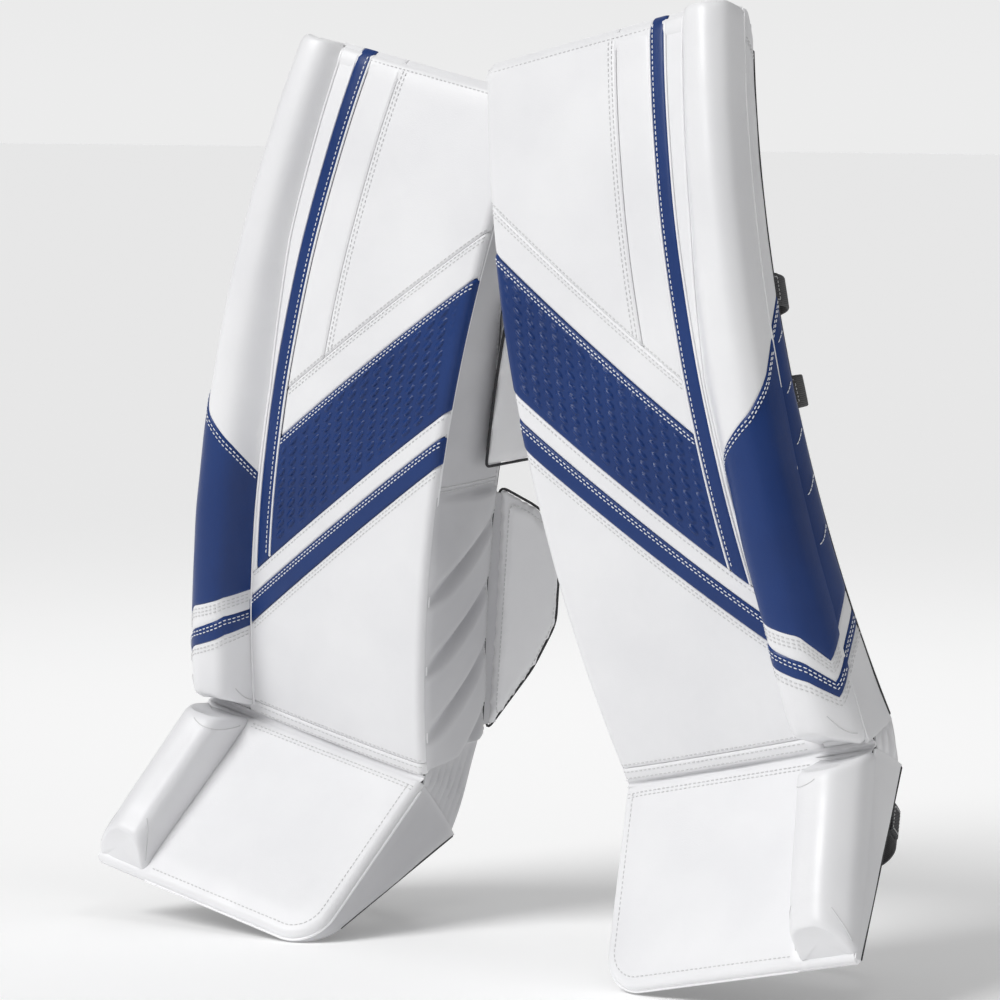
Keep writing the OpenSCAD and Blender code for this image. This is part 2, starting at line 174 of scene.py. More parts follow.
class Parts:
    """Collects closed shapes, in a pad's millimetres, that become one object."""

    def __init__(self):
        self.verts, self.faces, self.mats, self.count = [], [], [], 0

    def add(self, verts, faces, mat=0):
        verts = np.asarray(verts, float).reshape(-1, 3)
        self.verts.append(verts)
        for f in faces:
            self.faces.append([int(i) + self.count for i in f])
        n = len(faces)
        self.mats.extend([int(mat)] * n if np.ndim(mat) == 0 else [int(m) for m in mat])
        self.count += len(verts)
        return self

    def sheet(self, outer, inner, mat=0, back=0):
        """A closed skin between two grids of points."""
        nu, nv = outer.shape[:2]
        n = nu * nv
        idx = np.arange(n).reshape(nu, nv)
        front = grid_faces(nu, nv)
        loop = np.r_[idx[:, 0], idx[-1, 1:], idx[-2::-1, -1], idx[0, -2:0:-1]]
        nxt = np.roll(loop, -1)
        rim = np.stack([loop, loop + n, nxt + n, nxt], -1)
        mats = np.broadcast_to(mat, (nu - 1, nv - 1)).reshape(-1)
        edge_mat = mats.reshape(nu - 1, nv - 1)
        ring = np.r_[edge_mat[:, 0], edge_mat[-1, :], edge_mat[::-1, -1], edge_mat[0, ::-1]]
        faces = np.concatenate([front, front[:, ::-1] + n, rim])
        return self.add(np.concatenate([outer.reshape(-1, 3), inner.reshape(-1, 3)]), faces,
                        np.r_[mats, np.full(len(front), back), ring])

    def sweep(self, rings, mat=0):
        """A closed tube through rings of points, its two ends closed."""
        n, m = rings.shape[:2]
        faces = [list(f) for f in grid_faces(n, m, True)]
        ends = np.stack([rings[0].mean(0), rings[-1].mean(0)])
        for k in range(m):
            faces.append([n * m, (k + 1) % m, k])
            faces.append([n * m + 1, (n - 1) * m + k, (n - 1) * m + (k + 1) % m])
        if np.ndim(mat):
            mat = np.r_[np.asarray(mat).reshape(-1), np.full(2 * m, 0)]
        return self.add(np.concatenate([rings.reshape(-1, 3), ends]), faces, mat)

    def tube(self, line, radius, sides=8, up=None):
        """A thin tube along a line of points."""
        line = np.asarray(line, float)
        tangent = np.gradient(line, axis=0)
        tangent /= np.linalg.norm(tangent, axis=1)[:, None] + 1e-12
        if up is None:
            up = np.eye(3)[np.argmin(np.abs(tangent).max(axis=0))]
        a = np.cross(tangent, np.asarray(up, float))
        a /= np.linalg.norm(a, axis=1)[:, None] + 1e-9
        b = np.cross(tangent, a)
        ang = np.linspace(0, 2 * math.pi, sides, endpoint=False)
        rings = line[:, None] + radius * (a[:, None] * np.cos(ang)[None, :, None]
                                          + b[:, None] * np.sin(ang)[None, :, None])
        tip0, tip1 = rings[0].mean(0), rings[-1].mean(0)
        first = tip0 + (rings[0] - tip0) * 0.5 - tangent[0] * radius * 0.6
        last = tip1 + (rings[-1] - tip1) * 0.5 + tangent[-1] * radius * 0.6
        return self.sweep(np.concatenate([first[None], rings, last[None]]))

    def stitches(self, line, normal, length=3.4, gap=1.7, lift=0.15):
        """A row of thread dashes that lies on a line of points; normal points out of the cover."""
        line = np.asarray(line, float)
        normal = np.broadcast_to(np.asarray(normal, float), line.shape)
        seg = np.linalg.norm(np.diff(line, axis=0), axis=1)
        along = np.r_[0, np.cumsum(seg)]
        starts = np.arange(gap / 2, along[-1] - length, length + gap)
        if not len(starts):
            return self
        ang = np.linspace(0, 2 * math.pi, 6, endpoint=False)
        width, shape = 0.55, [(0.0, 0.35), (0.18, 1.0), (0.82, 1.0), (1.0, 0.35)]
        faces = grid_faces(4, 6, True).tolist() + [[5, 4, 3, 2, 1, 0], [18, 19, 20, 21, 22, 23]]

        def at(q, arr):
            return np.stack([np.interp(q, along, arr[:, k]) for k in range(3)], -1)

        for s0 in starts:
            p0, p1 = at(s0, line), at(s0 + length, line)
            t = (p1 - p0) / (np.linalg.norm(p1 - p0) + 1e-9)
            n = at(s0 + length / 2, normal)
            n = n - t * (n @ t)
            n /= np.linalg.norm(n) + 1e-9
            b = np.cross(t, n)
            rings = []
            for q, r in shape:
                c = p0 + (p1 - p0) * q + n * (lift + (0.18 if r == 1 else -0.25))
                rings.append(c + width * r * (np.cos(ang)[:, None] * b + 0.6 * np.sin(ang)[:, None] * n))
            self.add(np.concatenate(rings), faces)
        return self

    def make(self, name, pad, body, mats, slot, stands_for=(), fill=None, bend=None, subdiv=0):
        """Makes the object and ties it to its body; given bend, it is left in the world, tied to no body."""
        verts = pad.world(np.concatenate(self.verts))
        mesh = bpy.data.meshes.new(name)
        mesh.from_pydata(verts.tolist(), [], self.faces)
        mesh.polygons.foreach_set("material_index", np.array(self.mats, np.int32))
        bm = bmesh.new()
        bm.from_mesh(mesh)
        bmesh.ops.remove_doubles(bm, verts=bm.verts, dist=2e-6)
        bmesh.ops.recalc_face_normals(bm, faces=bm.faces)
        bm.to_mesh(mesh)
        bm.free()
        mesh.shade_smooth()
        mesh.set_sharp_from_angle(angle=math.radians(38))
        obj = bpy.data.objects.new(f"{pad.side}_{name}", mesh)
        bpy.context.scene.collection.objects.link(obj)
        for m in mats:
            mesh.materials.append(m)
        if subdiv:
            mod = obj.modifiers.new("smooth", "SUBSURF")
            mod.levels = mod.render_levels = subdiv
        if bend:
            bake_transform(obj)
        else:
            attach(obj, f"{pad.side}_{body}")
        if stands_for:
            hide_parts(*[f"{pad.side}_{n}" for n in stands_for])


# --------------------------------------------------------------------------- materials
def node_material(name):
    m = bpy.data.materials.new(name)
    m.use_nodes = True
    nt = m.node_tree
    bsdf = nt.nodes["Principled BSDF"]
    coord = nt.nodes.new("ShaderNodeTexCoord")
    return m, nt, bsdf, coord.outputs["Object"]


def noise(nt, vec, scale, detail=3.0, rough=0.5):
    n = nt.nodes.new("ShaderNodeTexNoise")
    n.inputs["Scale"].default_value = scale
    n.inputs["Detail"].default_value = detail
    n.inputs["Roughness"].default_value = rough
    nt.links.new(vec, n.inputs["Vector"])
    return n.outputs["Fac"]


def voronoi(nt, vec, scale, feature="F1"):
    n = nt.nodes.new("ShaderNodeTexVoronoi")
    n.feature = feature
    n.inputs["Scale"].default_value = scale
    nt.links.new(vec, n.inputs["Vector"])
    return n.outputs["Distance"]


def ramp(nt, fac, stops):
    n = nt.nodes.new("ShaderNodeValToRGB")
    el = n.color_ramp.elements
    while len(el) < len(stops):
        el.new(0.5)
    for e, (pos, col) in zip(el, stops):
        e.position = pos
        e.color = (*col, 1) if len(col) == 3 else col
    nt.links.new(fac, n.inputs["Fac"])
    return n.outputs["Color"]


def maths(nt, op, a, b):
    n = nt.nodes.new("ShaderNodeMath")
    n.operation = op
    for k, v in enumerate((a, b)):
        if isinstance(v, (int, float)):
            n.inputs[k].default_value = v
        else:
            nt.links.new(v, n.inputs[k])
    return n.outputs[0]


def bump(nt, bsdf, height, strength, distance, before=None):
    n = nt.nodes.new("ShaderNodeBump")
    n.inputs["Strength"].default_value = strength
    n.inputs["Distance"].default_value = distance
    nt.links.new(height, n.inputs["Height"])
    if before is not None:
        nt.links.new(before, n.inputs["Normal"])
    nt.links.new(n.outputs["Normal"], bsdf.inputs["Normal"])
    return n.outputs["Normal"]


def crease_shade_and_edge_wear(nt, colour, amount):
    """Painted shade: darkens a colour a little in creases; lightens it on edges as edge wear."""
    geo = nt.nodes.new("ShaderNodeNewGeometry")
    edge = ramp(nt, geo.outputs["Pointiness"], [(0.42, (0, 0, 0)), (0.5, (0.5, 0.5, 0.5)), (0.58, (1, 1, 1))])
    mix = nt.nodes.new("ShaderNodeMix")
    mix.data_type = "RGBA"
    mix.blend_type = "OVERLAY"
    mix.inputs[0].default_value = amount
    nt.links.new(colour, mix.inputs[6])
    nt.links.new(edge, mix.inputs[7])
    return mix.outputs[2]


def leather(name, light, dark, rough=0.42, grain=900.0, grain_depth=0.00012, coat=0.0, shine=0.5):
    """Synthetic leather: fine pebble grain, slow tone changes, slightly uneven gloss."""
    m, nt, bsdf, obj = node_material(name)
    tone = ramp(nt, noise(nt, obj, 9.0, 4.0), [(0.3, dark), (0.72, light)])
    # base colour with painted shade in creases and lighter worn edges
    nt.links.new(crease_shade_and_edge_wear(nt, tone, 0.16), bsdf.inputs["Base Color"])
    gloss = ramp(nt, noise(nt, obj, 26.0, 3.0), [(0.3, (rough - 0.06,) * 3), (0.7, (rough + 0.07,) * 3)])
    nt.links.new(gloss, bsdf.inputs["Roughness"])
    bsdf.inputs["Specular IOR Level"].default_value = shine
    bsdf.inputs["Coat Weight"].default_value = coat
    bsdf.inputs["Coat Roughness"].default_value = 0.3
    cells = voronoi(nt, obj, grain)
    fine = noise(nt, obj, grain * 1.7, 2.0)
    height = maths(nt, "ADD", cells, maths(nt, "MULTIPLY", fine, 0.5))
    first = bump(nt, bsdf, noise(nt, obj, 38.0, 3.0), 0.35, 0.0006)
    bump(nt, bsdf, height, 0.5, grain_depth, first)
    return m


def bands(nt, vec, direction, pitch, distortion, detail):
    w = nt.nodes.new("ShaderNodeTexWave")
    w.bands_direction = direction
    w.inputs["Scale"].default_value = 1 / pitch / math.pi
    w.inputs["Distortion"].default_value = distortion
    w.inputs["Detail"].default_value = detail
    nt.links.new(vec, w.inputs["Vector"])
    return w.outputs["Fac"]


def cloth(name, light, dark, pitch, rough, fuzz=0.0):
    """Woven fabric: over-and-under threads from two crossed waves, and thread noise."""
    m, nt, bsdf, obj = node_material(name)
    waves = [bands(nt, obj, direction, pitch, 0.6, 1.0) for direction in ("X", "Z")]
    weave = maths(nt, "MAXIMUM", waves[0], waves[1])
    height = maths(nt, "ADD", weave, maths(nt, "MULTIPLY", noise(nt, obj, 1500.0, 2.0), 0.6 + fuzz))
    threads = maths(nt, "MULTIPLY", weave, 0.45)
    tone = maths(nt, "ADD", threads, maths(nt, "MULTIPLY", noise(nt, obj, 14.0, 4.0), 0.6))
    nt.links.new(ramp(nt, tone, [(0.25, dark), (0.85, light)]), bsdf.inputs["Base Color"])
    bsdf.inputs["Roughness"].default_value = rough
    bsdf.inputs["Sheen Weight"].default_value = 0.15 + fuzz
    bsdf.inputs["Sheen Roughness"].default_value = 0.5
    bump(nt, bsdf, height, 0.7, 0.0003)
    return m


def ribbed(name, light, dark, pitch):
    """Webbing and elastic: ribs across the strap and fine thread noise."""
    m, nt, bsdf, obj = node_material(name)
    ribs = bands(nt, obj, "Z", pitch, 0.3, 2.0)
    thread = noise(nt, obj, 1200.0, 2.0)
    tone = maths(nt, "ADD", maths(nt, "MULTIPLY", ribs, 0.6), maths(nt, "MULTIPLY", thread, 0.5))
    nt.links.new(ramp(nt, tone, [(0.2, dark), (0.9, light)]), bsdf.inputs["Base Color"])
    bsdf.inputs["Roughness"].default_value = 0.72
    bump(nt, bsdf, tone, 0.8, 0.0004)
    return m


WHITE = leather("white_leather", (0.83, 0.83, 0.84), (0.77, 0.77, 0.785), rough=0.40, coat=0.08)
# white leather of the medial side, a little greyer, and darkened much further as painted shade of that side
MEDIAL_SHADED = leather("medial_leather_shaded", (0.60, 0.60, 0.615), (0.52, 0.52, 0.54), rough=0.44)
BLUE = leather("blue_leather", (0.007, 0.036, 0.165), (0.005, 0.028, 0.135), rough=0.36, grain=1000.0,
               grain_depth=0.00018, shine=0.36)
THREAD_W = leather("white_thread", (0.8, 0.82, 0.86), (0.66, 0.69, 0.76), rough=0.6, grain=2500.0)
# white thread greyed as painted shade of the stitch holes
SHADED_THREAD = leather("grey_thread_painted_shade", (0.60, 0.60, 0.60), (0.50, 0.50, 0.51), rough=0.65, grain=2500.0)
PIPING = leather("white_piping", (0.88, 0.88, 0.89), (0.82, 0.82, 0.84), rough=0.35, coat=0.2)
NEAR_BLACK = (0.012, 0.012, 0.014)
LINER = cloth("black_nylon", (0.045, 0.045, 0.05), NEAR_BLACK, pitch=0.0014, rough=0.78)
CRADLE_CLOTH = cloth("brushed_grey", (0.15, 0.15, 0.16), (0.07, 0.07, 0.075), pitch=0.0022, rough=0.95,
                     fuzz=0.5)
BINDING = ribbed("black_binding", (0.05, 0.05, 0.055), NEAR_BLACK, pitch=0.0012)
ELASTIC = ribbed("black_elastic", (0.06, 0.06, 0.065), NEAR_BLACK, pitch=0.0018)
WEBBING = ribbed("black_webbing", (0.05, 0.05, 0.055), NEAR_BLACK, pitch=0.0024)
# grey of the dart lines: painted shadow in the dart seams
SEAM_SHADOW = leather("seam_shadow", (0.62, 0.62, 0.63), (0.54, 0.54, 0.55), rough=0.7)
TOE = leather("black_leather", (0.05, 0.05, 0.05), (0.03, 0.03, 0.032), rough=0.5)

# --------------------------------------------------------------------------- leg face
EDGE_R = 8.0
STRIPE = (194.0, 210.0)
SKIN = 2.6


def slant(start, fall):
    """A line across the face: its height at the medial edge and how fast it falls towards the side."""
    return lambda x: start - fall * np.asarray(x, float)


def moved(line, by):
    return lambda x: line(x) + by


def level(height):
    return lambda x: height + 0 * np.asarray(x, float)


CHEV_TOP, CHEV_FOOT = slant(514, 1.077), slant(383, 1.04)
BAND_SPLIT, BAND_FOOT = slant(358.5, 1.04), slant(330, 1.04)
VEE = slant(560, 1.06)
FACE_END = level(LEG_TOP + 2)


def face_lift(x, s):
    """Crown and unevenness of the face in front of its CAD surface."""
    crown = 2.2 * np.sin(np.pi * np.clip((x - 2) / 214, 0, 1)) ** 0.7
    body = (crown + 0.5 * ripple(x, s)) * smooth01(x / 20)
    rounding = 5.0 * (1 - smooth01((LEG_TOP + 2 - s) / 16)) ** 2
    return body * (0.35 + 0.65 * smooth01((LEG_TOP - s) / 26)) - rounding


def edge_drop(e, depth, radius):
    q = 1 - np.clip(e / radius, 0, 1)
    return depth * q ** 2.4


# one raised dash to the next, across and up the knee panel, and the way the dashes point
DASH_ACROSS, DASH_UP, DASH_WAY = (13.4, -4.4), (-0.9, -10.3), (0.563, -0.826)


def emboss(x, s):
    """Staggered raised dashes of the knee panel."""
    m = np.linalg.inv(np.array([DASH_ACROSS, DASH_UP]).T)
    u = m[0, 0] * x + m[0, 1] * (s - 514)
    v = m[1, 0] * x + m[1, 1] * (s - 514)
    best = np.zeros_like(x)
    for i in (-1, 0, 1):
        for j in (-1, 0, 1):
            du, dv = u - (np.round(u) + i), v - (np.round(v) + j)
            dx, ds = (DASH_ACROSS[k] * du + DASH_UP[k] * dv for k in (0, 1))
            along, across = dx * DASH_WAY[0] + ds * DASH_WAY[1], -dx * DASH_WAY[1] + ds * DASH_WAY[0]
            q = 1 - (np.abs(along) / 6.0) ** 3 - (across / 2.3) ** 2
            best = np.maximum(best, np.sqrt(np.clip(q, 0, 1)))
    return best


def face_panel(parts, lo, hi, xa, xb, mat=0, raised=0.0, step=6.0, rows=7.0, relief=None,
               sink=(1.5, 1.5, 1.3, 1.3)):
    """A sewn panel of the leg's face between two lines. From x 0 it wraps round the medial edge."""
    wrapped = xa <= 0
    if wrapped:
        cols = spread(EDGE_R, xb, step)[1:]
        phi = np.radians([0, 20, 40, 60, 78])
        px = np.r_[EDGE_R - EDGE_R * np.cos(phi), cols]
        pd = np.r_[-EDGE_R + EDGE_R * np.sin(phi), np.zeros(len(cols))]
        nx = np.r_[-np.cos(phi), np.zeros(len(cols))]
        nd = np.r_[np.sin(phi), np.ones(len(cols))]
    else:
        px = spread(xa, xb, step)
        pd, nx, nd = np.zeros(len(px)), np.zeros(len(px)), np.ones(len(px))
    longest = float(np.max(hi(px) - lo(px)))
    base = spread(0, longest, rows)
    tail = sum(1 for q in NEAR_EDGE if q < longest * 0.3)
    outer = np.zeros((len(px), len(base), 3))
    inner = np.zeros_like(outer)
    for i, x in enumerate(px):
        h = float(hi(x) - lo(x))
        v = base.copy()
        a, b = base[tail], longest - base[-tail - 1]
        mid = slice(tail, len(base) - tail)
        v[mid] = a + (base[mid] - a) * (h - a - b) / (longest - a - b)
        v[len(base) - tail:] = h - (longest - base[len(base) - tail:])
        s = float(lo(x)) + v
        left = 99.0 if wrapped else x - xa
        down = (edge_drop(left, sink[0], 3.6) + edge_drop(xb - x, sink[1], 3.6)
                + edge_drop(v, sink[2], 3.6) + edge_drop(h - v, sink[3], 3.6))
        lift = raised + face_lift(x, s) - down
        if relief is not None:
            lift = lift + relief(x + 0 * s, s, np.minimum(v, h - v), min(left, xb - x))
        outer[i] = leg(x + nx[i] * lift, s, pd[i] + nd[i] * lift)
        low = np.minimum(-SKIN, lift - 1.6)
        inner[i] = leg(x + nx[i] * low, s, pd[i] + nd[i] * low)
    parts.sheet(outer, inner, mat, mat)


def on_face(x, s, extra=0.0):
    """Points just on the surface of the face, wrapped round its medial edge."""
    x, s = np.broadcast_arrays(np.asarray(x, float), np.asarray(s, float))
    lift = face_lift(x, s) + extra
    phi = np.arccos(np.clip(1 - x / EDGE_R, 0, 1))
    turned = x < EDGE_R
    d = np.where(turned, -EDGE_R + EDGE_R * np.sin(phi), 0) + np.where(turned, np.sin(phi), 1) * lift
    return leg(x - np.where(turned, np.cos(phi) * lift, 0), s, d)


def face_normal(pts):
    """Outward normals of the leg's face at points."""
    n = pts - np.array([0, CENTRE_Y, CENTRE_Z])
    n[..., 0] = 0
    return n / np.linalg.norm(n, axis=-1)[..., None]


def face_row(parts, line, xa, xb, extra):
    """Stitches across the face along a line."""
    x = np.linspace(xa, xb, 90)
    p = on_face(x, line(x), extra)
    parts.stitches(p, face_normal(p))


def face_column(parts, x, lo, hi, extra, n):
    """Stitches up the face."""
    s = np.linspace(lo, hi, n)
    p = on_face(x + 0 * s, s, extra)
    parts.stitches(p, face_normal(p))


def chevron_relief(x, s, v, e):
    fade = smooth01((v - 7) / 5) * smooth01((e - 4) / 4) * smooth01((x - 9) / 8)
    return 2.1 * emboss(x, s) * fade


def build_face(pad):
    fine = 1.15
    stripe_in, stripe_out = STRIPE
    p = Parts()
    face_panel(p, moved(CHEV_TOP, 0.6), VEE, 0, stripe_in - 1, raised=-0.3)
    face_panel(p, moved(VEE, 0.4), FACE_END, 0, 154.6)
    face_panel(p, moved(VEE, 0.4), FACE_END, 155.4, stripe_in - 1)
    face_panel(p, moved(CHEV_FOOT, 0.6), FACE_END, stripe_out + 1, 236, step=4, sink=(0.6, 0.6, 1.3, 1.3))
    p.make("thigh_skin", pad, "leg", [WHITE], "white_skin", ["thigh_face"], fill=0.4)
    p = Parts()
    face_panel(p, moved(CHEV_FOOT, 0.4), CHEV_TOP, 0, stripe_in - 0.8, raised=0.9, step=fine, rows=fine,
               relief=chevron_relief, sink=(1.2, 1.2, 1.6, 1.8))
    p.make("knee_panel_skin", pad, "leg", [BLUE], "blue_skin", ["chevron_panel"], fill=0.4)
    p = Parts()
    face_panel(p, moved(CHEV_FOOT, 0.4), FACE_END, stripe_in, stripe_out, raised=1.3, step=3,
               sink=(1.6, 1.6, 1.4, 1.4))
    p.make("stripe_skin", pad, "leg", [BLUE], "blue_skin", ["face_stripe"], fill=0.3)
    p = Parts()
    face_panel(p, moved(BAND_SPLIT, 0.3), CHEV_FOOT, 0, 224, raised=0.3, rows=4)
    face_panel(p, BAND_FOOT, BAND_SPLIT, 0, 224, mat=1, raised=0.9, rows=4, sink=(1, 1, 1.4, 1.4))
    p.make("band_skin", pad, "leg", [WHITE, BLUE], "band_skin", ["band_panel"], fill=0.4)
    p = Parts()
    face_panel(p, level(15), moved(BAND_FOOT, -0.5), 0, 226, raised=0.0)
    face_panel(p, level(2), level(14.6), 0, 226, raised=0.3, rows=3)
    face_panel(p, level(2), level(60), 226.4, 278.6, raised=-1.2, rows=6, sink=(0, 0, 1, 1))
    p.make("shin_skin", pad, "leg", [WHITE], "white_skin", ["shin_face"], fill=0.4)
    # thread on the blue pieces
    p = Parts()
    for below in (3.6, 7.6):
        face_row(p, moved(CHEV_TOP, -below), 2, 192, 0.95)
        face_row(p, moved(BAND_SPLIT, -below), 2, 216, 0.95)
    face_column(p, 197.5, CHEV_FOOT(198) + 8, LEG_TOP - 6, 1.3, 160)
    p.make("face_thread", pad, "leg", [THREAD_W], "blue_skin")
    # thread on the white pieces, greyed as painted shade of the stitch holes
    p = Parts()
    for line, by, end, extra in ((VEE, 3.6, 191, 0.0), (VEE, -3.6, 191, -0.3), (VEE, -7.8, 191, -0.3),
                                 (CHEV_FOOT, -4.5, 214, 0.3), (BAND_FOOT, -4.5, 214, 0.0),
                                 (BAND_FOOT, -9.0, 214, 0.0), (level(0), 11.4, 214, 0.3),
                                 (level(0), 5.0, 214, 0.3), (level(0), 18.6, 214, 0.0)):
        face_row(p, moved(line, by), 2, end, extra)
    for x in (150.8, 147.0):
        face_column(p, x, VEE(x) + 4, LEG_TOP - 8, 0.0, 120)
    p.make("face_stitching", pad, "leg", [SHADED_THREAD], "white_skin")
    # piping beside the stripe and along the medial edge
    p = Parts()
    for x in (stripe_in - 0.5, stripe_out + 0.6):
        s = np.linspace(CHEV_FOOT(x) + 2, LEG_TOP - 4, 110)
        p.tube(on_face(x + 0 * s, s, 0.35), 1.1)
    s = np.linspace(6, LEG_TOP - 6, 110)
    p.tube(leg(0.4, s, -9.0), 1.3)
    p.make("face_piping", pad, "leg", [PIPING], "white_skin")


# --------------------------------------------------------------------------- outer roll and lateral wall
# each row of a roll's form: inner seam x, then (x, d) of inner shoulder, crown, outer shoulder, chamfer
# and side, and d of the outer seam; the keys are the heights of the rows
ROLL_KEYS = [0, 60, 130, 350, 500, 694]
ROLL_FORM = np.array([
    [219, 223.5, 35, 243, 42, 262, 39, 277, 22, 281, 12, 8],
    [218, 225.0, 33, 244, 40, 263, 37, 277.5, 20, 281, 8, 0],
    [217, 230.0, 27, 246, 34, 265, 31, 278, 16, 281, 3, -9],
    [214, 235.0, 19, 250, 25, 267, 23, 278.5, 11, 281, -3, -20],
    [226, 240.0, 16, 253, 20.5, 268, 19, 278.5, 8, 281, -5, -24],
    [231, 242.0, 13, 255, 17, 268, 15, 278, 5, 281, -6, -26]], float)
# heights of the colour boundaries at the inner seam, inner shoulder, outer shoulder, chamfer and outer seam
ROLL_LINES = {"band_foot": (101, 98, 79, 55, 72), "band_top": (119, 117, 96, 69, 86),
              "blue_foot": (140, 136, 119, 88, 104), "blue_top": (262, 290, 318, 348, 382)}
WALL_LINES = {"band_foot": 104.0, "band_top": 118.0, "blue_foot": 138.0, "blue_top": 420.0}
ROLL_FOOT = 7.0
LATERAL, MEDIALLY = (1, 0, 0), (-1, 0, 0)


WALL_BACK = -40.2
ROLL_N = 30
ROLL_Q = np.linspace(0, 1, ROLL_N)


def form_at(s, keys, form):
    return np.array([np.interp(s, keys, form[:, k]) for k in range(form.shape[1])])


def seam_x(s):
    return form_at(s, ROLL_KEYS, ROLL_FORM)[0]


def seam_d(s):
    return float(form_at(s, ROLL_KEYS, ROLL_FORM)[-1])


def curve_through(pts, n, fine):
    """n points spread evenly along a rounded path through pts, and how far along it each of pts is."""
    pts = np.asarray(pts, float)
    full = []
    ext = np.vstack([2 * pts[0] - pts[1], pts, 2 * pts[-1] - pts[-2]])
    for i in range(len(pts) - 1):
        p0, p1, p2, p3 = ext[i:i + 4]
        u = np.linspace(0, 1, fine, endpoint=i == len(pts) - 2)[:, None]
        full.append(0.5 * (2 * p1 + (p2 - p0) * u + (2 * p0 - 5 * p1 + 4 * p2 - p3) * u * u
                           + (3 * p1 - p0 - 3 * p2 + p3) * u ** 3))
    full = np.concatenate(full)
    run = np.r_[0, np.cumsum(np.linalg.norm(np.diff(full, axis=0), axis=1))]
    q = np.linspace(0, run[-1], n)
    keys = np.array([run[np.argmin(np.linalg.norm(full - p, axis=1))] for p in pts]) / run[-1]
    return np.stack([np.interp(q, run, full[:, k]) for k in range(full.shape[1])], -1), keys


def outline_of(form):
    """A roll's outline, from its inner seam over the crown to its outer seam."""
    points = np.vstack([[form[0], -1.5], form[1:11].reshape(-1, 2), [form[9], form[11]]])
    return curve_through(points, ROLL_N, 14)


@lru_cache(maxsize=None)
def roll_section(s):
    return outline_of(form_at(s, ROLL_KEYS, ROLL_FORM))


def off_outline(section, k, lift):
    """A point of a roll's outline moved outwards, and the outward direction."""
    a, b = section[max(k - 1, 0)], section[min(k + 1, ROLL_N - 1)]
    along = (b - a) / (np.linalg.norm(b - a) + 1e-9)
    out = np.array([-along[1], along[0]])
    return section[k] + out * lift, out


def between(section, k, lift):
    """A point of a roll's outline between two of its own points, moved outwards."""
    i = min(int(k), ROLL_N - 2)
    step = section[i + 1] - section[i]
    out = np.array([-step[1], step[0]]) / np.linalg.norm(step)
    return lerp(section[i], section[i + 1], k - i) + out * lift


def end_rounding(gap):
    """0 at a rounded end and 1 away from it; gap is the distance from the end over its radius."""
    return math.sqrt(max(0.0, 1 - (1 - min(1.0, max(gap, 0))) ** 2))


def drawn_in(point, depth, end):
    """Moves a point of a roll towards the roll's middle near its ends."""
    base = np.array([250.0, depth * 0.5 - 2.0])
    return base + (point - base) * (0.82 + 0.18 * end)


def roll_wave(k, s):
    return 0.7 * ripple(k / (ROLL_N - 1) * 120, s, 1.6)


def seam_lift(raised, gap, rise):
    """A blue piece lies a little higher than its white neighbours, and every seam is a dip."""
    return rise * raised * min(1.0, gap / 1.5) - 0.5 * (1 - min(1.0, gap / 1.2))


def eased(n):
    return (1 - np.cos(np.linspace(0, math.pi, n + 1))) / 2


def banded(lines, foot, top, counts):
    """Rows of heights that follow the colour boundaries, the colour of each row of faces, and each
    row's distance from the nearest boundary."""
    edges = [foot, lines["band_foot"], lines["band_top"], lines["blue_foot"], lines["blue_top"], top]
    rows, mats, dist, raised = [], [], [], []
    for k in range(5):
        lo, hi = edges[k], edges[k + 1]
        last = k == 4
        for t in eased(counts[k]) if last else eased(counts[k])[:-1]:
            rows.append(lo + (hi - lo) * t)
            below, above = (hi - lo) * t, (hi - lo) * (1 - t)
            dist.append(np.minimum(below + (60 if k == 0 else 0), above + (60 if last else 0)))
            raised.append(float(k % 2))
        mats += [k % 2] * counts[k]
    return np.array(rows), np.array(mats)[:, None], np.array(dist), raised


